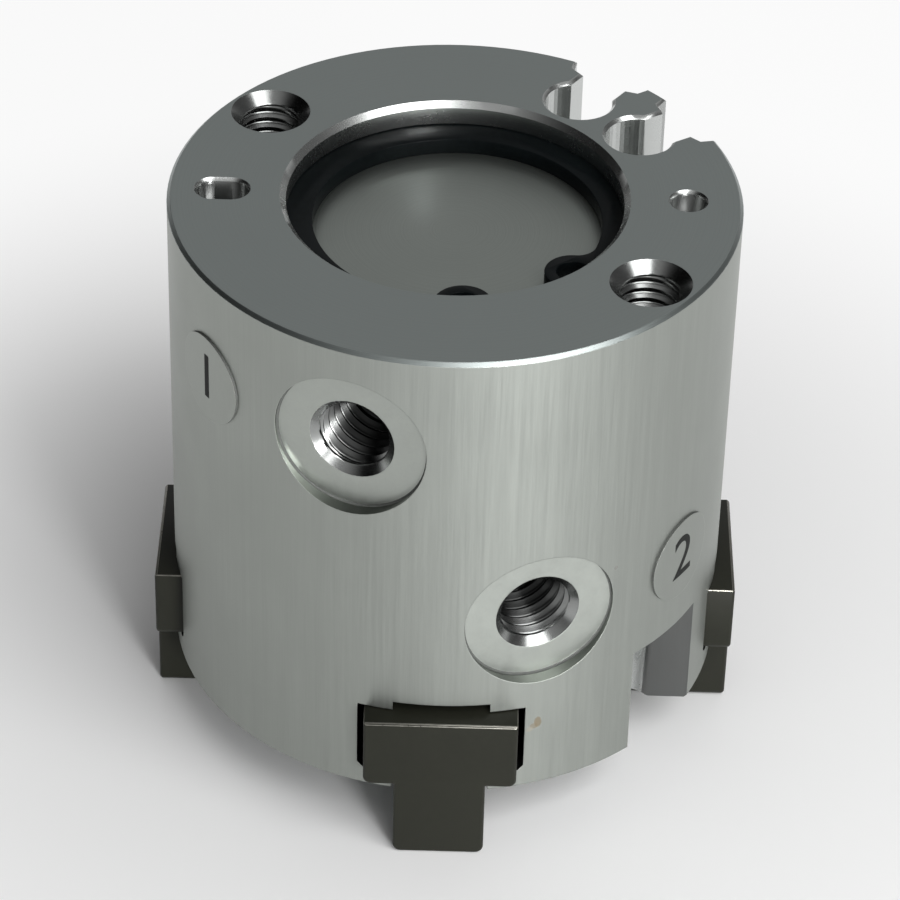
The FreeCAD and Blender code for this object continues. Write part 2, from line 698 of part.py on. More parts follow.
def make_retaining_ring():
    """Snap ring: thick opposite its gap, thin beside the two lugs with plier holes."""
    outer = cover_radius + s.clip_groove_depth
    inner = outer - (s.clip_wide + s.clip_narrow) / 2
    shift = (s.clip_wide - s.clip_narrow) / 2
    height = s.clip_thickness
    annulus = cut("clip_annulus", cylinder("clip_outer", outer, height),
                  cylinder("clip_inner", inner, height, x=shift))
    lug_centre = cover_radius - s.clip_lug_inset
    lug_x = lug_centre * cosine(s.clip_lug_spread)
    lug_y = lug_centre * sine(s.clip_lug_spread)
    lugs, holes = [], []
    for side, y in (("left", lug_y), ("right", -lug_y)):
        lugs.append(cylinder("clip_lug_" + side, s.clip_lug_radius, height, x=lug_x, y=y))
        holes.append(cylinder("clip_hole_" + side, s.clip_hole / 2, height, x=lug_x, y=y))
    gap = (lug_y - s.clip_lug_radius) * 2
    opening = box("clip_opening", outer, gap, height, x=s.clip_lug_radius, y=-(gap / 2))
    limit = cylinder("clip_limit", outer, height)
    whole = common("clip_trimmed", fuse("clip_with_lugs", [annulus] + lugs), limit)

    def joins_lug(edge):
        """True for the upright edge in the corner between a lug and the ring, away from the gap."""
        centre = edge.CenterOfMass
        upright = near(abs(edge.tangentAt(edge.FirstParameter).z), 1)
        return upright and centre.x < lug_x.value and abs(centre.y) > lug_y.value and centre.x > 0

    necks = edges_where(whole, joins_lug)
    rounded = dressed("Part::Fillet", "clip_necked", whole, necks, s.clip_neck_round)
    blank = cut("clip_drilled", rounded, fuse("clip_holes", holes))
    clip = cut("clip_open", blank, opening)
    keep("retaining_ring", move(around("clip_turned", [clip], s.clip_gap_angle), z=clip_z))


def make_piston():
    relief = piston_radius - s.piston_relief_depth
    magnet = cylinder_radius - s.magnet_depth
    packing = cylinder_radius - s.seal_depth
    spigot = s.rod_spigot / 2 + s.fit_gap
    screw = s.piston_screw_thread / 2 + s.fit_gap
    head = s.piston_screw_head / 2 + s.end_gap
    lands = s.lower_land + s.middle_land + s.upper_land
    relief_height = (piston_top_z - piston_z - s.magnet_width - s.seal_width - lands) / 2
    magnet_z = piston_z + relief_height + s.lower_land
    packing_top_z = piston_top_z - relief_height - s.upper_land
    keep("piston", turned("piston", [
        (spigot, piston_z),
        (relief, piston_z),
        (relief, piston_z + relief_height),
        (piston_radius, piston_z + relief_height),
        (piston_radius, magnet_z),
        (magnet, magnet_z),
        (magnet, magnet_z + s.magnet_width),
        (piston_radius, magnet_z + s.magnet_width),
        (piston_radius, packing_top_z - s.seal_width),
        (packing, packing_top_z - s.seal_width),
        (packing, packing_top_z),
        (piston_radius, packing_top_z),
        (piston_radius, piston_top_z - relief_height),
        (relief, piston_top_z - relief_height),
        (relief, piston_top_z),
        (head, piston_top_z),
        (head, piston_head_z),
        (screw, piston_head_z),
        (screw, spigot_z),
        (spigot, spigot_z),
    ]))
    keep("piston_magnet", turned("piston_magnet", [
        (magnet + s.fit_gap, magnet_z),
        (piston_radius - s.fit_gap, magnet_z),
        (piston_radius - s.fit_gap, magnet_z + s.magnet_width),
        (magnet + s.fit_gap, magnet_z + s.magnet_width),
    ]))
    make_piston_seal(packing + s.fit_gap, packing_top_z)
    tip_z = piston_z + s.piston_screw_tip
    make_cap_screw("piston_screw", piston_head_z, 1, piston_head_z - tip_z)


def make_piston_seal(inner, top):
    """Lip packing: two lips that wipe the wall, with a hollow between them."""
    wall = cylinder_radius - s.seal_gap
    lip = s.seal_lip
    hollow = wall - s.seal_hollow
    shoulder = wall - s.seal_hollow / 2
    bottom = top - s.seal_width
    keep("piston_seal", turned("piston_seal", [
        (inner, bottom),
        (shoulder, bottom),
        (wall, bottom + lip),
        (wall, bottom + lip * 3 / 2),
        (hollow, bottom + lip * 5 / 2),
        (wall, top - lip * 3 / 2),
        (wall, top - lip),
        (shoulder, top),
        (inner, top),
    ]))


def make_cap_screw(name, under_head, up, length):
    """Socket head cap screw on the axis; up is 1 with its head on top, -1 with its head below."""
    thread, head = getattr(s, name + "_thread"), getattr(s, name + "_head")
    head_height, key = getattr(s, name + "_head_height"), getattr(s, name + "_key")
    shank_z, head_z, key_z = under_head - length, under_head, under_head + head_height / 2
    if up < 0:
        shank_z, head_z, key_z = under_head, under_head - head_height, under_head - head_height
    shank = cylinder(name + "_shank", thread / 2, length, z=shank_z)
    cap = cylinder(name + "_cap", head / 2, head_height, z=head_z)
    socket = doc.addObject("Part::Prism", name + "_socket")
    corner = key / (2 * math.cos(math.pi / HEXAGON))
    move(bind(socket, {"Circumradius": corner, "Height": head_height / 2}), z=key_z)
    keep(name, cut(name, fuse(name + "_blank", [shank, cap]), socket))


def make_rod():
    spigot = s.rod_spigot / 2
    top = spigot_z - s.fit_gap
    upper = s.piston_screw_thread / 2 + s.fit_gap
    lower = s.cam_screw_thread / 2 + s.fit_gap
    upper_end = piston_z + s.piston_screw_tip - s.end_gap
    lower_end = cam_z + s.cam_screw_head_height + s.cam_screw_length + s.end_gap
    keep("piston_rod", turned("piston_rod", [
        (lower, cam_top_z),
        (rod_radius, cam_top_z),
        (rod_radius, piston_z),
        (spigot, piston_z),
        (spigot, top),
        (upper, top),
        (upper, upper_end),
        (0, upper_end),
        (0, lower_end),
        (lower, lower_end),
    ]))
    make_ring("rod_seal", rod_radius + s.seal_gap, web_ring_z)


def sheared_tee(name, neck_half, head_half, face, outer, gap, height, z):
    """A tee-shaped bar that leans outward as it rises, parallel to the faces of the cam.

    face is the radius of the cam surface at height z, outer where the neck starts, and gap is
    taken off the head all round.
    """
    shoulder = face - s.cam_neck_depth - gap
    inner = face - s.cam_neck_depth - s.cam_head_depth + gap
    sketch = draw(new_sketch(name + "_section"), [
        (outer, neck_half),
        (shoulder, neck_half),
        (shoulder, head_half),
        (inner, head_half),
        (inner, -head_half),
        (shoulder, -head_half),
        (shoulder, -neck_half),
        (outer, -neck_half),
    ])
    lean = FreeCAD.Vector(slope.value, 0, 1)
    bar = pushed(name, sketch, lean, height * root(slope * slope + 1))
    bar.setExpression("Dir.x", slope.formula)
    return move(bar, z=z)


def make_cam():
    """Turned cone on the rod end with four inclined tee slots, one for each jaw."""
    height = cam_top_z - cam_z
    tip = s.cam_tip_radius
    recess = s.cam_screw_head / 2 + s.fit_gap
    bore = s.cam_screw_thread / 2 + s.fit_gap
    shelf_z = cam_z + s.cam_screw_head_height
    blank = turned("cam_blank", [
        (recess, cam_z),
        (tip, cam_z),
        (cam_top_radius, cam_top_z),
        (bore, cam_top_z),
        (bore, shelf_z),
        (recess, shelf_z),
    ])
    slots = []
    for name, angle in JAWS:
        face = tip - slope * BEYOND
        bar = sheared_tee("cam_slot_" + name, s.cam_neck_width / 2, s.cam_head_width / 2, face,
                          face + BEYOND, 0, height + BEYOND * 2, cam_z - BEYOND)
        slots.append(around("cam_slot_" + name + "_turned", [bar], angle))
    keep("cam", cut("cam", blank, fuse("cam_slots", slots)))
    make_cap_screw("cam_screw", shelf_z, -1, s.cam_screw_length)


def make_jaw(name, angle):
    """Tee-section jaw: foot and flange outside, mitred nose with its tee head in the cam."""
    stem, flange = s.stem_width / 2, s.flange_width / 2
    front, height = jaw_reach, crown_z - flange_z
    face = s.cam_tip_radius + (flange_z - cam_z) * slope
    nose = face + s.slide_gap
    rib_front = front - s.crown_setback
    flange_length = front - cam_top_radius - s.flange_inset
    body = [
        box(name + "_flange", flange_length, s.flange_width, s.flange_height,
            x=front - flange_length, y=-flange, z=flange_z),
        box(name + "_foot", s.foot_length, s.stem_width, flange_z + s.slide_gap,
            x=front - s.foot_length, y=-stem),
    ]
    outer = rounded_jaw(name, fuse(name + "_outer", body))
    side = draw(new_sketch(name + "_rib_side", UPRIGHT_XZ), [
        (nose, flange_z),
        (rib_front, flange_z),
        (rib_front, crown_z),
        (nose + height * slope, crown_z),
    ])
    rib = pushed(name + "_rib", side, FreeCAD.Vector(0, 1, 0), s.stem_width, symmetric=True)
    gap = s.slide_gap
    head = sheared_tee(name + "_head", s.cam_neck_width / 2 - gap, s.cam_head_width / 2 - gap, face,
                       nose + gap, gap, height, flange_z)
    whole = fuse(name + "_whole", [outer, rib, head])
    tip = s.jaw_stroke + s.mitre_gap
    mitre = draw(new_sketch(name + "_mitre_outline"), [
        (tip, 0),
        (tip + jaw_reach, jaw_reach),
        (tip + jaw_reach, -jaw_reach),
    ])
    wedge = pushed(name + "_mitre", mitre, Z_AXIS, top_z)
    thread = cylinder(name + "_thread", s.finger_thread_core / 2, s.finger_thread_depth,
                      x=front - s.finger_thread_setback)
    jaw = cut(name + "_drilled", common(name + "_mitred", whole, wedge), thread)
    keep(name, around(name + "_turned", [jaw], angle))


def rounded_jaw(name, blank):
    """Round the lower corners along the jaw, then bevel its outer face."""
    front = jaw_reach.value
    stem, flange = s.stem_width.value / 2, s.flange_width.value / 2

    def runs_along(edge):
        direction = edge.tangentAt(edge.FirstParameter)
        middle = edge.CenterOfMass
        low_foot = near(middle.z, 0) and near(abs(middle.y), stem)
        low_flange = near(middle.z, flange_z.value) and near(abs(middle.y), flange)
        return near(abs(direction.x), 1) and (low_foot or low_flange)

    corners = edges_where(blank, runs_along)
    rounded = dressed("Part::Fillet", name + "_rounded", blank, corners, s.jaw_corner)

    def outlines_face(edge):
        return all(near(vertex.X, front) for vertex in edge.Vertexes)

    numbers = edges_where(rounded, outlines_face)
    return dressed("Part::Chamfer", name + "_bevelled", rounded, numbers, s.jaw_chamfer)


def make_end_plate():
    """Disc that closes the cam cavity, slotted for the feet and held by countersunk screws."""
    radius, thickness, x = plate_radius, s.slot_floor, plate_screw_radius
    start = jaw_reach - s.foot_length - s.jaw_stroke - s.plate_slot_gap
    half = s.stem_width / 2 + s.stem_gap
    head, shank = s.plate_screw_head / 2, s.plate_screw_thread / 2
    cutters = []
    for name, angle in JAWS:
        slot = box("plate_slot_" + name, radius, half * 2, thickness, x=start, y=-half, z=base_z)
        cutters.append(around("plate_slot_" + name + "_turned", [slot], angle))
    for number, angle in enumerate(PLATE_SCREW_ANGLES, start=1):
        name = "plate_sink_%d" % number
        rim, bore = head + s.fit_gap, shank + s.fit_gap
        hole = cylinder(name + "_hole", bore, thickness, x=x, z=base_z)
        sink = cone(name, rim, bore, head - shank, x=x, z=base_z)
        cutters.append(around(name + "_turned", [fuse(name + "_tool", [hole, sink])], angle))
    disc = cylinder("end_plate_disc", radius, thickness, z=base_z)
    keep("end_plate", cut("end_plate", disc, fuse("end_plate_cutters", cutters)))
    for number, angle in enumerate(PLATE_SCREW_ANGLES, start=1):
        make_plate_screw("end_plate_screw_%d" % number, angle)


def make_plate_screw(name, angle):
    head, shank = s.plate_screw_head / 2, s.plate_screw_thread / 2
    x, groove = plate_screw_radius, s.plate_screw_slot
    stem = cylinder(name + "_shank", shank, s.plate_screw_length, x=x, z=base_z)
    cap = cone(name + "_head", head, shank, head - shank, x=x, z=base_z)
    slot = box(name + "_slot", head * 2, groove, groove, x=x - head, y=-(groove / 2), z=base_z)
    screw = cut(name + "_cut", fuse(name + "_blank", [stem, cap]), slot)
    keep(name, around(name, [screw], angle))


def make_label(name, z, angle):
    """Thin round label, bent to the curve of the body."""
    disc = cylinder(name + "_disc", s.label_diameter / 2, s.body_diameter / 4)
    move(along_x(disc), x=body_radius - s.body_diameter / 8, z=z)
    skin = cut(name + "_skin",
               cylinder(name + "_outer", body_radius + s.label_thickness, s.body_height, z=base_z),
               cylinder(name + "_inner", body_radius, s.body_height, z=base_z))
    keep(name, around(name, [common(name + "_bent", skin, disc)], angle))


def solid_of(item):
    """The one solid of a finished piece."""
    solids = item.Shape.Solids
    if len(solids) != 1:
        raise RuntimeError("%s has %d solids" % (item.Label, len(solids)))
    return solids[0]


def write_pieces():
    doc.recompute()
    for item in doc.Objects:
        if "Invalid" in item.State or "Error" in item.State:
            raise RuntimeError("%s did not compute" % item.Label)
    os.makedirs("parts", exist_ok=True)
    for item in pieces:
        if item.Shape.isNull() or not item.Shape.isValid():
            raise RuntimeError("%s has a faulty shape" % item.Label)
    for item in pieces:
        solid = solid_of(item)
        solid.exportStep(os.path.join("parts", item.Label + ".step"))
        print("%-20s %9.3f mm3" % (item.Label, solid.Volume))


make_housing()
make_cover()
make_retaining_ring()
make_piston()
make_rod()
make_cam()
for jaw_name, jaw_angle in JAWS:
    make_jaw(jaw_name, jaw_angle)
make_end_plate()
make_label("port_label_upper", upper_port_z, s.upper_label_angle)
make_label("port_label_lower", lower_port_z, s.lower_label_angle)
write_pieces()
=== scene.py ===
"""Finishes, threads, port numbers and studio for the round four-finger parallel gripper."""

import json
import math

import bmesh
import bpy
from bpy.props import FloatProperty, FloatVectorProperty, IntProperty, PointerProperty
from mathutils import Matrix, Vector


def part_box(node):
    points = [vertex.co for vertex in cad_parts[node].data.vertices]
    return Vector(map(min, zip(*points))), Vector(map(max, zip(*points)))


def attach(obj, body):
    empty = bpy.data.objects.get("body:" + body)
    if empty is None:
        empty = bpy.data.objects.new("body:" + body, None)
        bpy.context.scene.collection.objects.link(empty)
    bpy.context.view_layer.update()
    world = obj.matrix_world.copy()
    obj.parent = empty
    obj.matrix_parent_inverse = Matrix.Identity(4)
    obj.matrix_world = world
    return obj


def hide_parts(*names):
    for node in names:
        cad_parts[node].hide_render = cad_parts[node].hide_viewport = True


bl_info = {
    "name": "Four-Finger Gripper Finish",
    "version": (1, 0, 0),
    "blender": (4, 5, 0),
    "location": "View3D > Sidebar > Gripper",
    "description": "Dresses a round four-jaw gripper: anodised body, tapped holes, black jaws and studio",
    "category": "Object",
}

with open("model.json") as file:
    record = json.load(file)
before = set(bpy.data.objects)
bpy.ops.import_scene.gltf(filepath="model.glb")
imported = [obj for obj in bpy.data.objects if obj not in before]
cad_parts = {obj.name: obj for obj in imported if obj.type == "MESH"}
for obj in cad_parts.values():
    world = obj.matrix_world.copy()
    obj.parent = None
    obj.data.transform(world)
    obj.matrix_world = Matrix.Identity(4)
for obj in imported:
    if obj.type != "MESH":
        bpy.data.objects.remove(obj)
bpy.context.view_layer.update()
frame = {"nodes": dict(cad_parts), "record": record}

MM = 0.001
SAME_PLACE = 2e-7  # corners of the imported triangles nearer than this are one
NEAR = 0.02 * MM
SLACK = 0.03 * MM  # how far packed corners may lie off the round that they stand for
LEVEL = 0.999  # a face whose normal has this much of an axis lies square to it
UPRIGHT = 0.02  # a face whose normal has less of the Z axis stands upright
MOUNTS = {mount["name"]: mount for mount in frame["record"]["mounts"]}
NODES = frame["nodes"]
FOOT_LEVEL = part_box("jaw_front")[0].z
BODY_LOW, BODY_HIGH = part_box("housing")
BODY_RADIUS = max(math.hypot(v.co.x, v.co.y) for v in NODES["housing"].data.vertices)
TOP = BODY_HIGH.z
BASE = BODY_LOW.z
POCKET_HEIGHT = 7.65 * MM  # just past the corner reliefs, above the base face
LINING_GAP = 0.05 * MM  # thread lining past the wall of the hole that was widened for it
MOUNT_SPAN = (-1.5 * MM, -0.1 * MM)  # where holes are widened, along their axis from their mouth
PORT_SPAN = (-5.2 * MM, 0.4 * MM)
FINGER_SPAN = (-5.1 * MM, 0.1 * MM)
JAWS = ("jaw_front", "jaw_right", "jaw_back", "jaw_left")
PORTS = ("port_upper", "port_lower")
PINS = ("pin_hole", "pin_slot")
LABELS = {"port_label_upper": "1", "port_label_lower": "2"}
CAPITAL = 0.69  # height of a figure in the built-in font, for a text size of 1
NUMBER_THICKNESS = 0.03 * MM  # to either side of the middle of a printed number
STRIP = 0.2 * MM  # numbers are cut this fine before they are bent
BODY_FINISHES = (
    "anodised_skin", "faced_end", "machined_cut", "spot_face", "bored_hole",
    "milled_pocket", "spot_wall", "pin_hole", "dark_edge",
)


# Settings

def colour(name, description, value):
    return FloatVectorProperty(name=name, description=description, subtype="COLOR",
                               size=3, min=0.0, max=1.0, default=value)


def length(name, description, value):
    return FloatProperty(name=name, description=description, subtype="DISTANCE",
                         unit="LENGTH", min=0.0, default=value, precision=5)


def amount(name, description, value):
    return FloatProperty(name=name, description=description, min=0.0, default=value)


class GripperSizes(bpy.types.PropertyGroup):
    mount_major: length("Mounting thread", "Nominal diameter, in the mounting face", 4.0 * MM)
    mount_pitch: length("Mounting pitch", "Pitch of the threads in the mounting face", 0.7 * MM)
    mount_mouth: length("Mounting countersink", "Countersink of the mounting threads, across", 4.8 * MM)
    mount_depth: length("Mounting thread depth", "Tapped length below the mounting face", 9.0 * MM)
    port_major: length("Port thread", "Nominal diameter of the port threads", 5.0 * MM)
    port_pitch: length("Port pitch", "Pitch of the port threads", 0.8 * MM)
    port_mouth: length("Port countersink", "Countersink of the ports, across", 5.2 * MM)
    finger_major: length("Finger thread", "Nominal diameter of the threads in the jaw feet", 3.0 * MM)
    finger_pitch: length("Finger pitch", "Pitch of the threads in the jaw feet", 0.5 * MM)
    finger_mouth: length("Finger countersink", "Countersink in the jaw feet, across", 3.2 * MM)
    number_height: length("Number height", "Height of the numbers on the port labels", 3.0 * MM)
    number_lift: length("Number lift", "How far the numbers stand proud of their label", 0.015 * MM)
    jaw_edge: length("Jaw edge", "Broken edges of the jaws", 0.09 * MM)
    broken_edge: length("Broken edge", "Rounding seen on the edges of the body", 0.08 * MM)
    rim: length("Rim chamfer", "Chamfer round the mounting face", 0.22 * MM)
    spot_face: length("Spot face", "Flat round each port, across", 9.3 * MM)


class GripperFinish(bpy.types.PropertyGroup):
    anodised: colour("Anodised skin", "Drawn and anodised outside of the body", (0.300, 0.316, 0.295))
    faced: colour("Faced ends", "Turned end faces of the body", (0.305, 0.335, 0.328))
    machined: colour("Machined cuts", "Bores, threads and chamfers, cut after anodising",
                     (0.560, 0.575, 0.565))
    cover: colour("Cover", "Turned cover in the bore", (0.320, 0.345, 0.325))
    jaw: colour("Jaw", "Dark olive surface of the jaws", (0.013, 0.0135, 0.0095))
    clip: colour("Snap ring", "Black snap ring", (0.004, 0.0055, 0.006))
    # Bare steel on the jaw edges, which also stands in for their painted highlight.
    worn_sheen: colour("Worn edge", "Bare steel that shows along the edges of the jaws", (0.230, 0.225, 0.200))
    ink: colour("Ink", "Printed numbers", (0.006, 0.0065, 0.006))
    steel: colour("Steel", "Screws, rod and end plate", (0.500, 0.495, 0.480))
    rubber: colour("Rubber", "Seals and magnet", (0.012, 0.012, 0.013))
    stain: colour("Stain", "Small brown stain beside the front jaw", (0.125, 0.100, 0.060))
    skin_roughness: amount("Skin roughness", "Roughness of the anodised skin", 0.48)
    face_roughness: amount("Face roughness", "Roughness of the turned end faces", 0.36)
    cut_roughness: amount("Cut roughness", "Roughness of the machined cuts", 0.27)


class GripperStudio(bpy.types.PropertyGroup):
    lens: amount("Lens", "Focal length on a 36 mm sensor, in millimetres", 159.25)
    elevation: FloatProperty(name="Elevation", description="Height angle of the camera",
                             subtype="ANGLE", default=math.radians(37.3374))
    roll: FloatProperty(name="Roll", description="Turn of the camera about its own axis",
                        subtype="ANGLE", default=math.radians(1.5697))
    distance: length("Distance", "Camera to its target", 244.334 * MM)
    aim_height: length("Aim height", "Height of the camera's target", 19.989 * MM)
    aim_right: FloatProperty(name="Aim right", description="Camera moved to its right",
                             default=0.029 * MM)
    aim_up: FloatProperty(name="Aim up", description="Camera moved to its top",
                          default=-2.334 * MM)
    floor: colour("Floor", "Pale floor", (0.86, 0.86, 0.86))
    key_power: amount("Key", "Power of the main lamp, in watts", 0.74)
    strip_power: amount("Strip", "Power of the low lamp in front, in watts", 1.65)
    floor_white: amount("Far floor", "Share of the far floor that shows as plain white", 0.9)
    sky: amount("Sky", "Soft light from ahead and behind", 0.44)
    sky_left: amount("Sky, left", "Soft light from the left", 0.0)
    sky_right: amount("Sky, right", "Soft light from the right", 0.10)
    horizon: amount("Horizon", "Pale band behind the edge of the floor", 0.48)
    thread_sides: IntProperty(name="Thread sides", description="Steps round a thread",
                              default=72, min=12)
    thread_steps: IntProperty(name="Thread steps", description="Steps along one pitch",
                              default=16, min=6)


def settings():
    scene = bpy.context.scene
    return scene.gripper_sizes, scene.gripper_finish, scene.gripper_studio


# Node trees

PORES = 2500.0  # pores of the coated surfaces, per metre
BUMP_HEIGHT = 0.004 * MM


class Graph:
    """Short words for building a node tree."""

    def __init__(self, tree):
        self.tree = tree

    def add(self, kind, *inputs, **properties):
        """Add a node, set its properties, then its inputs by number or name."""
        named = properties.pop("named", {})
        node = self.tree.nodes.new(kind)
        for key, value in properties.items():
            setattr(node, key, value)
        for key, value in list(enumerate(inputs)) + list(named.items()):
            if value is not None:
                self.put(value, node.inputs[key])
        return node

    def put(self, value, socket):
        if isinstance(value, bpy.types.Node):
            value = value.outputs[0]
        if isinstance(value, bpy.types.NodeSocket):
            self.tree.links.new(value, socket)
        else:
            socket.default_value = value

    def math(self, operation, *inputs, clamp=False):
        kind = "ShaderNodeMath"
        return self.add(kind, *inputs, operation=operation, use_clamp=clamp).outputs[0]

    def blend(self, factor, first, second):
        """Mix two colours."""
        node = self.add("ShaderNodeMix", data_type="RGBA")
        for key, value in (("Factor_Float", factor), ("A_Color", first), ("B_Color", second)):
            socket = [item for item in node.inputs if item.identifier == key][0]
            self.put(value, socket)
        return [item for item in node.outputs if item.identifier == "Result_Color"][0]

    def span(self, value, low, high, to_low=0.0, to_high=1.0, smooth=False):
        """Map a range onto another one."""
        style = "SMOOTHSTEP" if smooth else "LINEAR"
        return self.add("ShaderNodeMapRange", value, low, high, to_low, to_high,
                        interpolation_type=style).outputs[0]


def opaque(rgb):
    return (rgb[0], rgb[1], rgb[2], 1.0)


def new_group(name, kind, inputs, outputs):
    """A node group with named sockets, as (group, graph, input node, output node)."""
    group = bpy.data.node_groups.new(name, kind)
    for label, socket, value in inputs:
        item = group.interface.new_socket(label, in_out="INPUT", socket_type=socket)
        if value is not None:
            item.default_value = value
    for label, socket in outputs:
        group.interface.new_socket(label, in_out="OUTPUT", socket_type=socket)
    graph = Graph(group)
    return group, graph, graph.add("NodeGroupInput"), graph.add("NodeGroupOutput")


def grain_group():
    """Fine streaks drawn along one direction, with slow cloudy changes of tone."""
    group, g, source, result = new_group("Drawn Grain", "ShaderNodeTree", [
        ("Vector", "NodeSocketVector", None),
        ("Across", "NodeSocketFloat", 9000.0),
        ("Along", "NodeSocketFloat", 250.0),
        ("Cloud", "NodeSocketFloat", 160.0),
    ], [("Streak", "NodeSocketFloat"), ("Cloud", "NodeSocketFloat"), ("Speck", "NodeSocketFloat")])
    vector, across, along, cloud = source.outputs[:4]
    scale = g.add("ShaderNodeCombineXYZ", across, across, along)
    fine = g.add("ShaderNodeVectorMath", vector, scale, operation="MULTIPLY")
    streak = g.add("ShaderNodeTexNoise",
                   named={"Vector": fine, "Scale": 1.0, "Detail": 4.0, "Roughness": 0.6})
    coarse_scale = g.add("ShaderNodeVectorMath", scale, (0.28, 0.28, 0.22), operation="MULTIPLY")
    coarse = g.add("ShaderNodeVectorMath", vector, coarse_scale, operation="MULTIPLY")
    broad = g.add("ShaderNodeTexNoise", named={"Vector": coarse, "Scale": 1.0, "Detail": 2.0})
    both = g.math("MULTIPLY_ADD", broad.outputs[0], 0.45, g.math("MULTIPLY", streak.outputs[0], 0.55))
    patches = g.add("ShaderNodeTexNoise", named={"Vector": vector, "Scale": cloud, "Detail": 5.0})
    dots = g.add("ShaderNodeTexVoronoi", named={"Vector": vector, "Scale": 950.0, "Randomness": 1.0})
    near_dot = g.span(dots.outputs["Distance"], 0.10, 0.16, 1.0, 0.0)
    rare = g.span(dots.outputs["Color"], 0.93, 0.95)
    g.put(both, result.inputs[0])
    g.put(patches.outputs[0], result.inputs[1])
    g.put(g.math("MULTIPLY", near_dot, rare), result.inputs[2])
    return group


def mark_group():
    """A soft uneven spot round one point, for stains, scratches and specks."""
    group, g, source, result = new_group("Spot Mark", "ShaderNodeTree", [
        ("Vector", "NodeSocketVector", None),
        ("Place", "NodeSocketVector", (0.0, 0.0, 0.0)),
        ("Stretch", "NodeSocketVector", (1.0, 1.0, 1.0)),
        ("Radius", "NodeSocketFloat", 0.0004),
        ("Ragged", "NodeSocketFloat", 0.4),
    ], [("Mask", "NodeSocketFloat")])
    vector, place, stretch, radius, ragged = source.outputs[:5]
    away = g.add("ShaderNodeVectorMath", vector, place, operation="SUBTRACT")
    pulled = g.add("ShaderNodeVectorMath", away, stretch, operation="MULTIPLY")
    distance = g.add("ShaderNodeVectorMath", pulled, operation="LENGTH").outputs["Value"]
    noise = g.add("ShaderNodeTexNoise", named={"Vector": vector, "Scale": 2600.0, "Detail": 3.0})
    uneven = g.math("MULTIPLY", g.math("SUBTRACT", noise.outputs[0], 0.5), ragged)
    relative = g.math("ADD", g.math("DIVIDE", distance, radius), uneven)
    g.put(g.span(relative, 0.65, 1.0, 1.0, 0.0, smooth=True), result.inputs[0])
    return group


def lathe_group():
    """Rings left by a turning tool, round the Z axis."""
    group, g, source, result = new_group("Turning Marks", "ShaderNodeTree", [
        ("Vector", "NodeSocketVector", None),
        ("Rings", "NodeSocketFloat", 9000.0),
    ], [("Height", "NodeSocketFloat")])
    vector, rings = source.outputs[:2]
    flat = g.add("ShaderNodeVectorMath", vector, (1.0, 1.0, 0.0), operation="MULTIPLY")
    radius = g.add("ShaderNodeVectorMath", flat, operation="LENGTH").outputs["Value"]
    noise = g.add("ShaderNodeTexNoise", noise_dimensions="1D",
                  named={"W": g.math("MULTIPLY", radius, rings), "Scale": 1.0, "Detail": 3.0})
    g.put(noise.outputs[0], result.inputs[0])
    return group


def edge_group():
    """Mask of the edges, for wear and painted edge highlight: where the rounded normal leaves the shaded
    one, broken up by noise.
    """
    group, g, source, result = new_group("Edge Wear", "ShaderNodeTree", [
        ("Vector", "NodeSocketVector", None),
        ("Rounded Normal", "NodeSocketVector", None),
        ("Onset", "NodeSocketFloat", 0.02),
        ("Full", "NodeSocketFloat", 0.20),
        ("Breakup", "NodeSocketFloat", 0.2),
    ], [("Mask", "NodeSocketFloat")])
    vector, rounded, onset, full, breakup = source.outputs[:5]
    plain = g.add("ShaderNodeNewGeometry").outputs["Normal"]
    same = g.add("ShaderNodeVectorMath", rounded, plain, operation="DOT_PRODUCT").outputs["Value"]
    turned = g.math("SUBTRACT", 1.0, g.math("ABSOLUTE", same))
    noise = g.add("ShaderNodeTexNoise", named={"Vector": vector, "Scale": 1800.0, "Detail": 4.0})
    gaps = g.math("MULTIPLY", g.span(noise.outputs[0], 0.35, 0.65), breakup)
    unbroken = g.math("SUBTRACT", 1.0, gaps)
    g.put(g.math("MULTIPLY", g.span(turned, onset, full), unbroken), result.inputs[0])
    return group


def shader_group(name):
    if name not in bpy.data.node_groups:
        {"Drawn Grain": grain_group, "Spot Mark": mark_group, "Turning Marks": lathe_group,
         "Edge Wear": edge_group}[name]()
    return bpy.data.node_groups[name]


def new_material(name):
    """A material with a Principled shader, as (material, graph, shader, object coordinates)."""
    material = bpy.data.materials.new(name)
    material.use_nodes = True
    material.node_tree.nodes.clear()
    g = Graph(material.node_tree)
    shader = g.add("ShaderNodeBsdfPrincipled")
    g.add("ShaderNodeOutputMaterial", shader)
    return material, g, shader, g.add("ShaderNodeTexCoord").outputs["Object"]


def bumped(g, height, strength, normal=None):
    return g.add("ShaderNodeBump", named={"Height": height, "Strength": strength,
                                          "Distance": BUMP_HEIGHT, "Normal": normal})


def rounded_edge(g, place):
    """Normal rounded over the edges and the mask of the edges."""
    radius = bpy.context.scene.gripper_sizes.broken_edge
    rounded = g.add("ShaderNodeBevel", radius, samples=6).outputs[0]
    worn_sheen = g.add("ShaderNodeGroup", place, rounded, node_tree=shader_group("Edge Wear"))
    return rounded, worn_sheen.outputs[0]


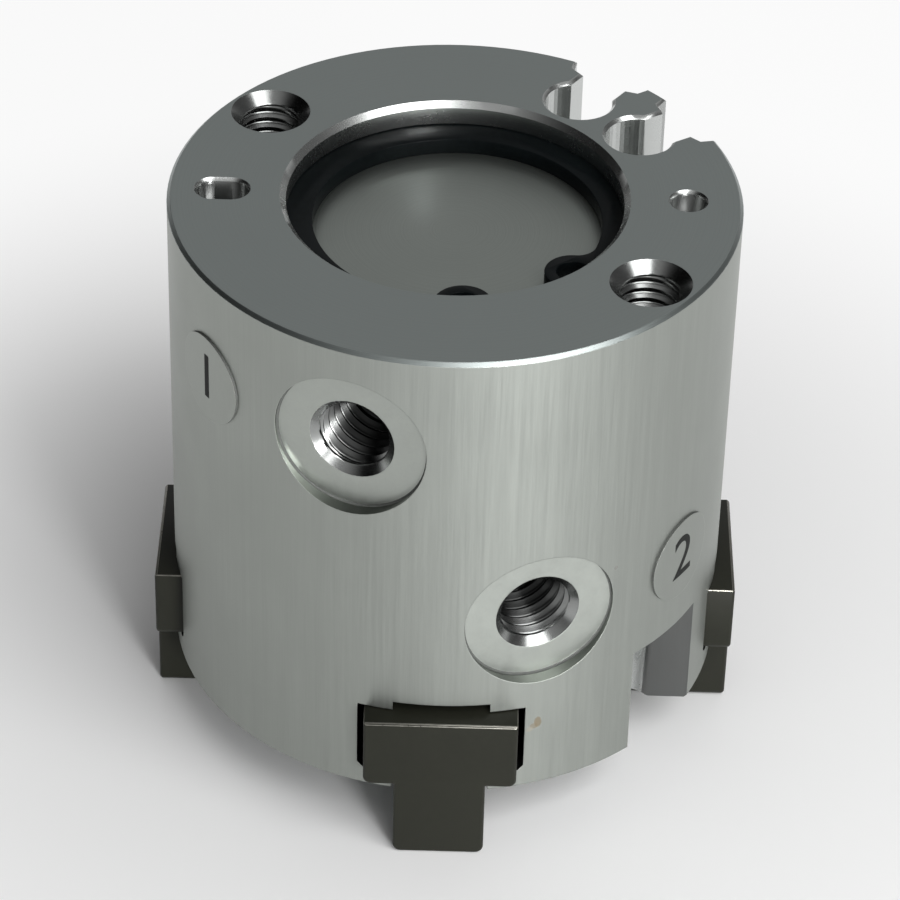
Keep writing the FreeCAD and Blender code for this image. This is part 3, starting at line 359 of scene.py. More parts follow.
def metal(name, tone, roughness, spread=0.10, grain=(12000.0, 250.0), rings=0.0, bump=0.12,
          marks=(), sunk=0.0, edge_wear_and_sheen=0.5):
    """Aluminium or steel: streaks vary its tone and roughness by spread, rings add turning marks.

    grain is how fine the streaks are across and along the Z axis, sunk how much painted shade
    darkens a tapped hole towards its bottom, and the last argument how bright the edges are, as wear
    and as painted highlight; at 0 they stay sharp.
    """
    material, g, shader, place = new_material(name)
    streaks = g.add("ShaderNodeGroup", node_tree=shader_group("Drawn Grain"))
    g.put(place, streaks.inputs["Vector"])
    streaks.inputs["Across"].default_value = grain[0]
    streaks.inputs["Along"].default_value = grain[1]
    streak, cloud, speck = streaks.outputs[:3]
    if rings:
        turning = g.add("ShaderNodeGroup", place, rings, node_tree=shader_group("Turning Marks"))
        streak = turning.outputs[0]
    dark = opaque(toned(tone, 1.0 - spread))
    light = opaque(toned(tone, 1.0 + spread))
    body = g.blend(g.span(streak, 0.35, 0.65), dark, light)
    body = g.blend(g.span(cloud, 0.35, 0.70, 0.0, 0.35), body, dark)
    darkest = opaque(toned(tone, 0.4))
    body = g.blend(g.math("MULTIPLY", speck, min(0.35, 6.0 * spread)), body, darkest)
    rough = g.span(streak, 0.3, 0.7, roughness - 0.8 * spread, roughness + 0.8 * spread)
    rough = g.math("ADD", rough, g.span(cloud, 0.3, 0.7, -0.4 * spread, 0.6 * spread))
    rounded = None
    if edge_wear_and_sheen:
        rounded, worn_sheen = rounded_edge(g, place)
        # Edges lightened, part wear and part painted highlight.
        bare_and_sheen = opaque(toned(tone, 1.7))
        body = g.blend(g.math("MULTIPLY", worn_sheen, edge_wear_and_sheen), body, bare_and_sheen)
    # Painted shade: darker towards the bottom of a tapped hole, by the depth that its lining stores.
    if sunk:
        depth = g.add("ShaderNodeAttribute", attribute_name="sunk").outputs["Fac"]
        shade = g.math("MULTIPLY", g.span(depth, 0.06, 0.62), sunk)
        body = g.blend(shade, body, opaque(toned(tone, 0.06)))
    dulled = 1.0
    for centre, stretch, radius, ink, strength in marks:
        spot = g.add("ShaderNodeGroup", place, centre, stretch, radius,
                     node_tree=shader_group("Spot Mark"))
        mask = g.math("MULTIPLY", spot.outputs[0], strength)
        body = g.blend(mask, body, opaque(ink))
        dulled = g.math("SUBTRACT", dulled, mask, clamp=True)
    g.put(body, shader.inputs["Base Color"])
    g.put(rough, shader.inputs["Roughness"])
    g.put(dulled, shader.inputs["Metallic"])
    g.put(bumped(g, streak, bump, rounded), shader.inputs["Normal"])
    return material


def coated(name, tone, roughness, spread=0.25, bump=0.25, specular=0.5):
    """Dark treated steel, rubber, ink: fine pores and slow changes of tone."""
    material, g, shader, place = new_material(name)
    pores = g.add("ShaderNodeTexNoise",
                  named={"Vector": place, "Scale": PORES, "Detail": 5.0, "Roughness": 0.6})
    slow = g.add("ShaderNodeTexNoise", named={"Vector": place, "Scale": PORES / 12.0, "Detail": 3.0})
    mixed = g.math("MULTIPLY_ADD", slow.outputs[0], 0.5, g.math("MULTIPLY", pores.outputs[0], 0.5))
    dark = opaque(toned(tone, 1.0 - spread))
    light = opaque(toned(tone, 1.0 + spread))
    g.put(g.blend(g.span(mixed, 0.35, 0.65), dark, light), shader.inputs["Base Color"])
    g.put(g.span(mixed, 0.35, 0.65, roughness - 0.06, roughness + 0.06), shader.inputs["Roughness"])
    g.put(bumped(g, pores.outputs[0], bump), shader.inputs["Normal"])
    shader.inputs["Specular IOR Level"].default_value = specular
    return material


def toned(tone, share):
    """A colour made darker, or paler if the share is above 1."""
    return [channel * share for channel in tone]


def on_body(angle, height):
    """A point on the outside of the body, angle in degrees from +X towards +Y."""
    turn = math.radians(angle)
    return (BODY_RADIUS * math.cos(turn), BODY_RADIUS * math.sin(turn), height)


def material_for(name):
    """The named finish, made the first time that it is asked for."""
    if name in bpy.data.materials:
        return bpy.data.materials[name]
    finish = bpy.context.scene.gripper_finish
    cut, drawn = finish.machined, finish.anodised
    even = (3000.0, 3000.0)
    makers = {
        "anodised_skin": lambda: metal(name, drawn, finish.skin_roughness, spread=0.06, bump=0.10,
                                       marks=skin_marks(finish)),
        "faced_end": lambda: metal(name, finish.faced, finish.face_roughness, spread=0.03,
                                   rings=14000.0, bump=0.04),
        "machined_cut": lambda: metal(name, cut, finish.cut_roughness, spread=0.01, grain=even,
                                      bump=0.004, edge_wear_and_sheen=0.0),
        # Painted shade: the tapped threads, the milled pocket and the pin holes are darker copies of the
        # machined cut, and tapped threads darken further towards their bottom.
        "tapped_hole": lambda: metal(name, toned(cut, 0.54), 0.22, spread=0.03, grain=even,
                                     bump=0.01, sunk=0.95, edge_wear_and_sheen=0.0),
        "milled_pocket": lambda: metal(name, toned(cut, 0.41), 0.34, spread=0.03,
                                       grain=(7000.0, 300.0), bump=0.01, edge_wear_and_sheen=0.0),
        "pin_hole": lambda: metal(name, toned(cut, 0.38), 0.30, spread=0.05, grain=even,
                                  bump=0.01, edge_wear_and_sheen=0.0),
        # Painted shade: the bottom of each port is near black, standing for the unlit depth of the hole.
        "bored_hole": lambda: coated(name, toned(cut, 0.08), 0.5, specular=0.3),
        "spot_face": lambda: metal(name, toned(drawn, 1.18), 0.46, spread=0.04,
                                   grain=(5000.0, 5000.0), bump=0.05),
        "spot_wall": lambda: metal(name, toned(drawn, 0.85), 0.20, spread=0.01, grain=even,
                                   bump=0.004, edge_wear_and_sheen=0.0),
        "turned_cover": lambda: metal(name, finish.cover, 0.44, spread=0.05, rings=11000.0, bump=0.05),
        "treated_jaw": lambda: coated(name, finish.jaw, 0.44, spread=0.10, bump=0.15, specular=0.17),
        # Pale jaw edges: bare steel wear and a painted highlight on the edges that face up.
        "jaw_edge": lambda: metal(name, finish.worn_sheen, 0.34, spread=0.15, grain=(4000.0, 4000.0),
                                  bump=0.05),
        "black_clip": lambda: coated(name, finish.clip, 0.34, spread=0.30, specular=0.06),
        "foil_face": lambda: metal(name, toned(drawn, 0.98), 0.46, spread=0.03,
                                   grain=(5000.0, 1200.0), bump=0.03),
        # Painted shade: a dark sheet on the crease round each port's flat and round the rim of each
        # label.
        "dark_edge": lambda: coated(name, toned(drawn, 0.25), 0.6, specular=0.3),
        "printed_ink": lambda: coated(name, finish.ink, 0.60, spread=0.2, bump=0.1, specular=0.15),
        "plain_steel": lambda: metal(name, finish.steel, 0.30, spread=0.07, grain=(6000.0, 6000.0)),
        # Painted shade also darkens the jaw-foot threads towards their bottom.
        "tapped_steel": lambda: metal(name, finish.steel, 0.28, spread=0.07, grain=(6000.0, 6000.0),
                                      sunk=0.85),
        "turned_steel": lambda: metal(name, finish.steel, 0.26, spread=0.06, rings=9000.0),
        "moulded_rubber": lambda: coated(name, finish.rubber, 0.55, spread=0.3, bump=0.4, specular=0.4),
    }
    return makers[name]()


def skin_marks(finish):
    """Stain beside the front jaw, a dark speck right of the lower port and dots by the upper label.

    Each mark is its place, stretch, radius, ink and strength.
    """
    dark = (0.10, 0.10, 0.09)
    flat = (1.0, 1.0, 0.55)
    return [
        (on_body(-70.1, BASE + 4.98 * MM), flat, 0.28 * MM, finish.stain, 0.90),
        (on_body(-70.9, BASE + 4.72 * MM), (0.8, 0.8, 1.0), 0.26 * MM, finish.stain, 0.70),
        (on_body(-71.8, BASE + 4.50 * MM), (0.8, 0.8, 1.0), 0.22 * MM, (0.20, 0.18, 0.14), 0.55),
        (on_body(-53.8, BASE + 15.15 * MM), (1.0, 1.0, 1.0), 0.17 * MM, dark, 0.8),
        (on_body(-139.0, BASE + 26.0 * MM), (1.0, 1.0, 1.0), 0.09 * MM, dark, 0.6),
        (on_body(-137.6, BASE + 25.2 * MM), (1.0, 1.0, 1.0), 0.08 * MM, dark, 0.5),
    ]


# Meshes

def merged_copy(node):
    """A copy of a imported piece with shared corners, as a bmesh."""
    bm = bmesh.new()
    bm.from_mesh(NODES[node].data)
    bmesh.ops.remove_doubles(bm, verts=bm.verts, dist=SAME_PLACE)
    bmesh.ops.dissolve_degenerate(bm, edges=bm.edges, dist=SAME_PLACE)
    return bm


def new_piece(name, bm, materials):
    """Turn a bmesh into an object whose place is in its mesh."""
    mesh = bpy.data.meshes.new(name)
    bm.to_mesh(mesh)
    bm.free()
    for material in materials:
        mesh.materials.append(material_for(material))
    piece = bpy.data.objects.new(name, mesh)
    bpy.context.scene.collection.objects.link(piece)
    return piece


def smooth(piece, sharp):
    """Soften curved faces, and keep the edges that turn by more than this many degrees."""
    piece.data.shade_smooth()
    piece.data.set_sharp_from_angle(angle=math.radians(sharp))


def smooth_round_body_axis(piece, flat=()):
    """Soften curved faces, with exact normals wherever a face lies on a round about the body axis.

    Level faces stay flat, and so do those of the material slots in flat.
    """
    smooth(piece, 24.0)
    mesh = piece.data
    normals = [corner.vector.copy() for corner in mesh.corner_normals]
    for face in mesh.polygons:
        if abs(face.normal.z) > LEVEL or face.material_index in flat:
            for loop in face.loop_indices:
                normals[loop] = face.normal.copy()
        if abs(face.normal.z) > UPRIGHT:
            continue
        places = [mesh.vertices[index].co for index in face.vertices]
        radii = [math.hypot(place.x, place.y) for place in places]
        if max(radii) - min(radii) > 0.01 * MM:
            continue  # it doesn't follow a round
        middle = Vector((face.center.x, face.center.y, 0.0)).normalized()
        side = face.normal.dot(middle)
        if abs(side) < 0.98:
            continue  # it cuts across the round
        for loop, place in zip(face.loop_indices, places):
            out = Vector((place.x, place.y, 0.0)).normalized()
            normals[loop] = out if side > 0 else -out
    mesh.normals_split_custom_set(normals)


def widen_hole(bm, start, axis, old, new, span):
    """Move the rings of a drilled hole and its countersink outwards, to make room for its lining."""
    axis = Vector(axis).normalized()
    for vert in bm.verts:
        along = (vert.co - start).dot(axis)
        foot = start + axis * along
        away = vert.co - foot
        if span[0] < along < span[1] and old - SLACK < away.length < new:
            vert.co = foot + away.normalized() * new


def narrow_rim(bm, width):
    """Draw the chamfer round the mounting face in to this width."""
    old = BODY_RADIUS - max(math.hypot(*vert.co.xy) for vert in bm.verts if vert.co.z > TOP - SAME_PLACE)
    for vert in bm.verts:
        radius = math.hypot(*vert.co.xy)
        share = (BODY_RADIUS - radius) / old
        on_slope = abs(radius + vert.co.z - (BODY_RADIUS + TOP - old)) < 0.004 * MM
        if on_slope and -0.02 < share < 1.02:
            reach = (BODY_RADIUS - share * width) / radius
            vert.co = Vector((vert.co.x * reach, vert.co.y * reach, TOP - (1.0 - share) * width))


def bevel_edges(piece, width, finish=-1):
    """Break the edges; finish is the material slot of the broken edges."""
    bevel = piece.modifiers.new("broken edges", "BEVEL")
    bevel.material = finish
    bevel.width = width
    bevel.segments = 2
    bevel.limit_method = "ANGLE"
    bevel.angle_limit = math.radians(32.0)
    bevel.use_clamp_overlap = True
    bevel.harden_normals = False
    bake_modifiers(piece)


def bake_modifiers(piece):
    """Replace a piece's mesh by its evaluated one and drop the modifiers."""
    shown = piece.evaluated_get(bpy.context.evaluated_depsgraph_get())
    mesh = bpy.data.meshes.new_from_object(shown)
    piece.modifiers.clear()
    piece.data = mesh
    mesh.name = piece.name


def finish_piece(piece, body, slot, *nodes):
    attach(piece, body)
    if nodes:
        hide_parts(*nodes)


# Threads

def thread_tree():
    """Lining of a tapped hole as a closed sleeve: mouth at the origin, running down along -Z.

    A grid is rolled up. Its rows follow the thread round the inner wall, whose radius is the larger
    of the countersink and the thread, and two more rows close the sleeve behind it.
    """
    if "Tapped Hole" in bpy.data.node_groups:
        return bpy.data.node_groups["Tapped Hole"]
    tree, g, source, result = new_group("Tapped Hole", "GeometryNodeTree", [
        ("Pitch", "NodeSocketFloat", 0.8 * MM),
        ("Core Radius", "NodeSocketFloat", 2.1 * MM),
        ("Major Radius", "NodeSocketFloat", 2.5 * MM),
        ("Mouth Radius", "NodeSocketFloat", 2.6 * MM),
        ("Depth", "NodeSocketFloat", 5.0 * MM),
        ("Sides", "NodeSocketInt", 72),
        ("Steps Per Pitch", "NodeSocketInt", 16),
        ("Material", "NodeSocketMaterial", None),
    ], [("Geometry", "NodeSocketGeometry")])
    tree.is_modifier = True
    pitch, core, major, mouth, depth, sides, steps, material = source.outputs[:8]
    turns = g.math("ADD", g.math("DIVIDE", depth, pitch), 1.0)
    rows = g.math("CEIL", g.math("MULTIPLY", turns, steps))
    count = g.math("ADD", rows, 3.0)
    grid = g.add("GeometryNodeMeshGrid", 1.0, 1.0, g.math("ADD", sides, 1.0), count)
    index = g.add("GeometryNodeInputIndex").outputs[0]
    column = g.math("FLOOR", g.math("DIVIDE", g.math("ADD", index, 0.5), count))
    row = g.math("SUBTRACT", index, g.math("MULTIPLY", column, count))
    turn = g.math("DIVIDE", column, sides)
    helix = g.math("MULTIPLY", g.math("SUBTRACT", g.math("DIVIDE", row, steps), turn), pitch)
    down = g.math("MAXIMUM", g.math("MINIMUM", helix, depth), 0.0)
    phase = g.math("FRACT", g.math("DIVIDE", row, steps))
    triangle = g.math("ABSOLUTE", g.math("SUBTRACT", g.math("MULTIPLY", phase, 2.0), 1.0))
    flats = g.span(triangle, 0.12, 0.80)
    sink = g.math("SUBTRACT", mouth, core)
    run_out = g.math("MULTIPLY", pitch, 0.3)
    started = g.span(down, g.math("MULTIPLY", sink, 0.8), g.math("ADD", sink, run_out))
    ended = g.span(down, g.math("SUBTRACT", depth, run_out), depth, 1.0, 0.0)
    height = g.math("MULTIPLY", g.math("SUBTRACT", major, core), g.math("MULTIPLY", started, ended))
    wave = g.math("ADD", core, g.math("MULTIPLY", flats, height))
    cone = g.math("SUBTRACT", mouth, down)
    inner = g.math("MAXIMUM", wave, cone)
    behind = g.math("GREATER_THAN", row, g.math("ADD", rows, 0.5))
    last = g.math("GREATER_THAN", row, g.math("ADD", rows, 1.5))
    inside = g.math("MULTIPLY", inner, g.math("SUBTRACT", 1.0, behind))
    radius = g.math("MULTIPLY_ADD", mouth, behind, inside)
    sunk = g.math("MULTIPLY", down, g.math("SUBTRACT", 1.0, last))
    angle = g.math("MULTIPLY", turn, 2.0 * math.pi)
    place = g.add("ShaderNodeCombineXYZ", g.math("MULTIPLY", radius, g.math("COSINE", angle)),
                  g.math("MULTIPLY", radius, g.math("SINE", angle)), g.math("MULTIPLY", sunk, -1.0))
    # This depth drives the painted shade that darkens tapped holes towards their bottom.
    marked = g.add("GeometryNodeStoreNamedAttribute", grid, domain="POINT", data_type="FLOAT",
                   named={"Name": "sunk", "Value": g.math("DIVIDE", down, depth, clamp=True)})
    rolled = g.add("GeometryNodeSetPosition", marked, None, place)
    closed = g.add("GeometryNodeMergeByDistance", rolled, named={"Distance": 0.0005 * MM})
    softened = g.add("GeometryNodeSetShadeSmooth", closed)
    solid = g.add("GeometryNodeRealizeInstances", softened)
    g.put(g.add("GeometryNodeSetMaterial", solid, named={"Material": material}), result.inputs[0])
    return tree


def grow(tree, name, values):
    """Run a Geometry Nodes tree with these inputs and return its result as a mesh."""
    holder = bpy.data.objects.new(name, bpy.data.meshes.new(name))
    bpy.context.scene.collection.objects.link(holder)
    modifier = holder.modifiers.new(name, "NODES")
    modifier.node_group = tree
    identifiers = {item.name: item.identifier for item in tree.interface.items_tree
                   if item.in_out == "INPUT"}
    for label, value in values.items():
        modifier[identifiers[label]] = value
    shown = holder.evaluated_get(bpy.context.evaluated_depsgraph_get())
    mesh = bpy.data.meshes.new_from_object(shown)
    bpy.data.objects.remove(holder)
    return mesh


def tapped_hole(name, mouth, axis, major, core, pitch, mouth_radius, depth, finish):
    """Thread lining placed at a hole's mouth; axis points out of the hole."""
    studio = bpy.context.scene.gripper_studio
    mesh = grow(thread_tree(), name, {
        "Pitch": pitch, "Core Radius": core, "Major Radius": major, "Mouth Radius": mouth_radius,
        "Depth": depth, "Sides": studio.thread_sides, "Steps Per Pitch": studio.thread_steps,
        "Material": material_for(finish),
    })
    turn = Vector((0.0, 0.0, 1.0)).rotation_difference(Vector(axis)).to_matrix().to_4x4()
    mesh.transform(Matrix.Translation(mouth) @ turn)
    return mesh


def gathered(meshes):
    """Join several meshes that share one material into one bmesh with outward faces."""
    bm = bmesh.new()
    for mesh in meshes:
        bm.from_mesh(mesh)
    bmesh.ops.recalc_face_normals(bm, faces=bm.faces)
    return bm


def thread_length(name):
    return MOUNTS[name]["dims"]["length_mm"] * MM


def round_hole(name):
    """Mouth, outward axis and core radius of a round mount, placed at the middle of its wall."""
    mount = MOUNTS[name]
    axis = Vector(mount["axis"]).normalized()
    mouth = Vector(mount["pos_m"]) + axis * (thread_length(name) / 2.0)
    return mouth, axis, mount["dims"]["r_mm"] * MM


# Pieces

def mounting_holes(sizes):
    """(start, axis, core radius) of both tapped holes in the mounting face."""
    mount = MOUNTS["mounting_threads"]
    reach = mount["dims"]["pcd_mm"] * MM / 2.0
    first = [v.co for v in NODES["housing"].data.vertices
             if abs(v.co.z - TOP) < SAME_PLACE and v.co.x > 0 > v.co.y
             and abs(math.hypot(v.co.x, v.co.y) - reach - sizes.mount_mouth / 2.0) < NEAR]
    middle = sum(first, Vector()) / len(first)
    turn = math.atan2(middle.y, middle.x)
    core = mount["dims"]["hole_r_mm"] * MM
    return [(Vector((reach * math.cos(a), reach * math.sin(a), TOP)), Vector((0.0, 0.0, 1.0)), core)
            for a in (turn, turn + math.pi)]


class GRIPPER_OT_housing(bpy.types.Operator):
    """Give the body its drawn skin, faced ends and machined cuts"""
    bl_idname = "gripper.housing"
    bl_label = "Housing"

    PIN_REACH = 1.75 * MM  # from the middle of a pin hole or slot to its farthest wall
    PIN_DEPTHS = (0.12 * MM, 3.2 * MM)

    def execute(self, context):
        sizes, _, _ = settings()
        bm = merged_copy("housing")
        for start, axis, core in mounting_holes(sizes):
            widen_hole(bm, start, axis, core, sizes.mount_mouth / 2.0 - LINING_GAP, MOUNT_SPAN)
        for name in PORTS:
            widen_hole(bm, *round_hole(name), sizes.port_mouth / 2.0 - LINING_GAP, PORT_SPAN)
        narrow_rim(bm, sizes.rim)
        piece = new_piece("body_shell", bm, BODY_FINISHES)
        for face in piece.data.polygons:
            face.material_index = BODY_FINISHES.index(self.finish_of(piece.data, face, sizes))
        smooth_round_body_axis(piece, flat=(BODY_FINISHES.index("spot_face"),))
        finish_piece(piece, "housing", "housing", "housing")
        return {"FINISHED"}

    def finish_of(self, mesh, face, sizes):
        """The finish of a face of the body, from where it lies and how it is turned."""
        corners = [mesh.vertices[index].co for index in face.vertices]
        inmost = min(math.hypot(corner.x, corner.y) for corner in corners)
        if inmost > BODY_RADIUS - NEAR and abs(face.normal.z) < UPRIGHT:
            return "anodised_skin"
        at_end = face.center.z > TOP - NEAR / 2.0 or face.center.z < BASE + NEAR / 2.0
        if abs(face.normal.z) > 0.99 and at_end:
            return "faced_end"
        if inmost > BODY_RADIUS - 1.1 * sizes.rim and abs(face.normal.z) > 0.6:
            return "faced_end"
        for name in PORTS:
            finish = self.finish_near_port(face, sizes, *round_hole(name))
            if finish:
                return finish
        if face.center.z < BASE + POCKET_HEIGHT and math.hypot(*face.center.xy) > BODY_RADIUS * 0.5:
            return "milled_pocket"
        for name in PINS:
            away = (face.center - Vector(MOUNTS[name]["pos_m"])).xy.length
            if away < self.PIN_REACH and self.PIN_DEPTHS[0] < TOP - face.center.z < self.PIN_DEPTHS[1]:
                return "pin_hole"
        return "machined_cut"

    def finish_near_port(self, face, sizes, start, axis, core):
        """The finish of a port's bottom or of the flat round it, or None for any other face."""
        away = face.center - start
        along = away.dot(axis)
        beside = (away - axis * along).length
        facing = face.normal.dot(axis)
        if beside < core and along < 0.0 and facing > 0.99:
            return "bored_hole"
        if along > 0.1 * MM and sizes.port_mouth * 0.51 < beside < sizes.spot_face * 0.51:
            # The crease between the flat and its wall gets painted shade.
            return "spot_face" if facing > LEVEL else "dark_edge" if facing > 0.05 else "spot_wall"
        return None


class GRIPPER_OT_threads(bpy.types.Operator):
    """Cut the threads into the mounting face, the ports and the jaw feet"""
    bl_idname = "gripper.threads"
    bl_label = "Threads"

    def execute(self, context):
        sizes, _, _ = settings()
        meshes = []
        for start, axis, core in mounting_holes(sizes):
            meshes.append(tapped_hole(
                "mounting_thread", start, axis, sizes.mount_major / 2.0, core, sizes.mount_pitch,
                sizes.mount_mouth / 2.0, sizes.mount_depth, "tapped_hole"))
        for name in PORTS:
            wall, axis, core = round_hole(name)
            mouth = sizes.port_mouth / 2.0
            sink = mouth - core
            meshes.append(tapped_hole(
                "port_thread", wall + axis * sink, axis, sizes.port_major / 2.0, core, sizes.port_pitch,
                mouth, thread_length(name) + sink, "tapped_hole"))
        piece = new_piece("body_threads", gathered(meshes), ("tapped_hole",))
        finish_threads(piece, "housing", "housing")
        for jaw in JAWS:
            name = jaw + "_thread"
            start, axis, core = round_hole(name)
            mesh = tapped_hole(name, start, axis, sizes.finger_major / 2.0, core, sizes.finger_pitch,
                               sizes.finger_mouth / 2.0, thread_length(name), "tapped_steel")
            piece = new_piece(name, gathered([mesh]), ("tapped_steel",))
            finish_threads(piece, jaw, "jaw_steel")
        return {"FINISHED"}


def finish_threads(piece, body, slot):
    smooth(piece, 40.0)
    finish_piece(piece, body, slot)


class GRIPPER_OT_jaws(bpy.types.Operator):
    """Dress the four jaws in dark treated steel with broken edges"""
    bl_idname = "gripper.jaws"
    bl_label = "Jaws"

    def execute(self, context):
        sizes, _, _ = settings()
        for jaw in JAWS:
            bm = merged_copy(jaw)
            widen_hole(bm, *round_hole(jaw + "_thread"), sizes.finger_mouth / 2.0, FINGER_SPAN)
            flatten(bm)
            piece = new_piece(jaw + "_dressed", bm, ("treated_jaw", "jaw_edge"))
            bevel_edges(piece, sizes.jaw_edge, finish=1)
            smooth(piece, 35.0)
            for face in piece.data.polygons:
                if face.normal.z < 0.3:
                    face.material_index = 0  # only edges that look up keep the pale edge, wear and painted highlight from above
            finish_piece(piece, jaw, "jaw_steel", jaw)
        return {"FINISHED"}


def flatten(bm):
    """Join the triangles of each flat face."""
    bmesh.ops.dissolve_limit(bm, angle_limit=math.radians(0.5), verts=bm.verts, edges=bm.edges,
                             delimit={"NORMAL"})


class GRIPPER_OT_cover(bpy.types.Operator):
    """Dress the cover and the snap ring that holds it"""
    bl_idname = "gripper.cover"
    bl_label = "Cover and Snap Ring"

    EDGE = 0.05 * MM

    def execute(self, context):
        for node, name, finish, slot in (
            ("cylinder_cover", "bore_cover", "turned_cover", "cover"),
            ("retaining_ring", "snap_ring", "black_clip", "ring_steel"),
        ):
            bm = merged_copy(node)
            flatten(bm)
            piece = new_piece(name, bm, (finish,))
            bevel_edges(piece, self.EDGE)
            smooth(piece, 35.0)
            finish_piece(piece, "housing", slot, node)
        return {"FINISHED"}


class GRIPPER_OT_labels(bpy.types.Operator):
    """Put a plain number on each of the two round port labels"""
    bl_idname = "gripper.labels"
    bl_label = "Port Labels"

    def execute(self, context):
        sizes, _, _ = settings()
        for node, character in LABELS.items():
            piece = new_piece(node + "_foil", merged_copy(node), ("foil_face", "dark_edge"))
            low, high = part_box(node)
            middle = Vector(((low.x + high.x) / 2.0, (low.y + high.y) / 2.0, 0.0)).normalized()
            for face in piece.data.polygons:
                face.material_index = int(face.normal.dot(middle) < 0.8)  # painted shade round its rim
            smooth_round_body_axis(piece)
            finish_piece(piece, "housing", "label_foil", node)
            self.print_number(sizes, node, character, (low + high) / 2.0)
        return {"FINISHED"}

    def print_number(self, sizes, node, character, middle):
        """Bend a flat number round the body so that it stands just proud of its label."""
        text = bpy.data.curves.new(node + "_number", "FONT")
        text.body = character
        text.size = sizes.number_height / CAPITAL
        text.align_x = "CENTER"
        text.align_y = "CENTER"
        text.extrude = NUMBER_THICKNESS
        writer = bpy.data.objects.new(node + "_writer", text)
        bpy.context.scene.collection.objects.link(writer)
        shown = writer.evaluated_get(bpy.context.evaluated_depsgraph_get())
        mesh = bpy.data.meshes.new_from_object(shown)
        bpy.data.objects.remove(writer)
        bm = gathered([mesh])
        bmesh.ops.triangulate(bm, faces=bm.faces, ngon_method="EAR_CLIP")
        widest = max(abs(vert.co.x) for vert in bm.verts)
        strips = math.ceil(widest / STRIP)
        for strip in range(-strips, strips + 1):
            bmesh.ops.bisect_plane(bm, geom=bm.verts[:] + bm.edges[:] + bm.faces[:],
                                   plane_co=(strip * STRIP, 0.0, 0.0), plane_no=(1.0, 0.0, 0.0))
        turn = math.atan2(middle.y, middle.x)
        outer = max(math.hypot(v.co.x, v.co.y) for v in NODES[node].data.vertices)
        for vert in bm.verts:
            angle = turn + vert.co.x / outer
            reach = outer + sizes.number_lift - NUMBER_THICKNESS + vert.co.z
            vert.co = Vector((reach * math.cos(angle), reach * math.sin(angle), middle.z + vert.co.y))
        bmesh.ops.recalc_face_normals(bm, faces=bm.faces)
        piece = new_piece(node + "_number", bm, ("printed_ink",))
        finish_piece(piece, "housing", "label_foil")


class GRIPPER_OT_base(bpy.types.Operator):
    """Dress the end plate and its four screws"""
    bl_idname = "gripper.base"
    bl_label = "End Plate"

    def execute(self, context):
        piece = new_piece("end_plate_dressed", merged_copy("end_plate"), ("plain_steel",))
        smooth_round_body_axis(piece)
        finish_piece(piece, "housing", "plate_steel", "end_plate")
        screws = [node for node in NODES if node.startswith("end_plate_screw")]
        for node in screws:
            piece = new_piece(node + "_dressed", merged_copy(node), ("turned_steel",))
            smooth(piece, 24.0)
            finish_piece(piece, "housing", "screw_steel", node)
        return {"FINISHED"}


class GRIPPER_OT_drive(bpy.types.Operator):
    """Finish the piston, rod, cam, seals and screws inside the body"""
    bl_idname = "gripper.drive"
    bl_label = "Drive"

    FINISHES = {
        "piston": "machined_cut", "piston_rod": "turned_steel", "cam": "turned_steel",
        "piston_screw": "plain_steel", "cam_screw": "plain_steel", "piston_magnet": "moulded_rubber",
        "piston_seal": "moulded_rubber", "cover_seal": "moulded_rubber", "rod_seal": "moulded_rubber",
    }

    def execute(self, context):
        for node, finish in self.FINISHES.items():
            item = NODES[node]
            item.data.materials.clear()
            item.data.materials.append(material_for(finish))
        return {"FINISHED"}


# Stage

def lamp(name, place, target, size, power):
    light = bpy.data.lights.new(name, "AREA")
    light.shape = "RECTANGLE"
    light.size, light.size_y = size
    light.energy = power
    item = bpy.data.objects.new(name, light)
    item.location = place
    item.rotation_euler = (Vector(target) - Vector(place)).to_track_quat("-Z", "Y").to_euler()
    bpy.context.scene.collection.objects.link(item)


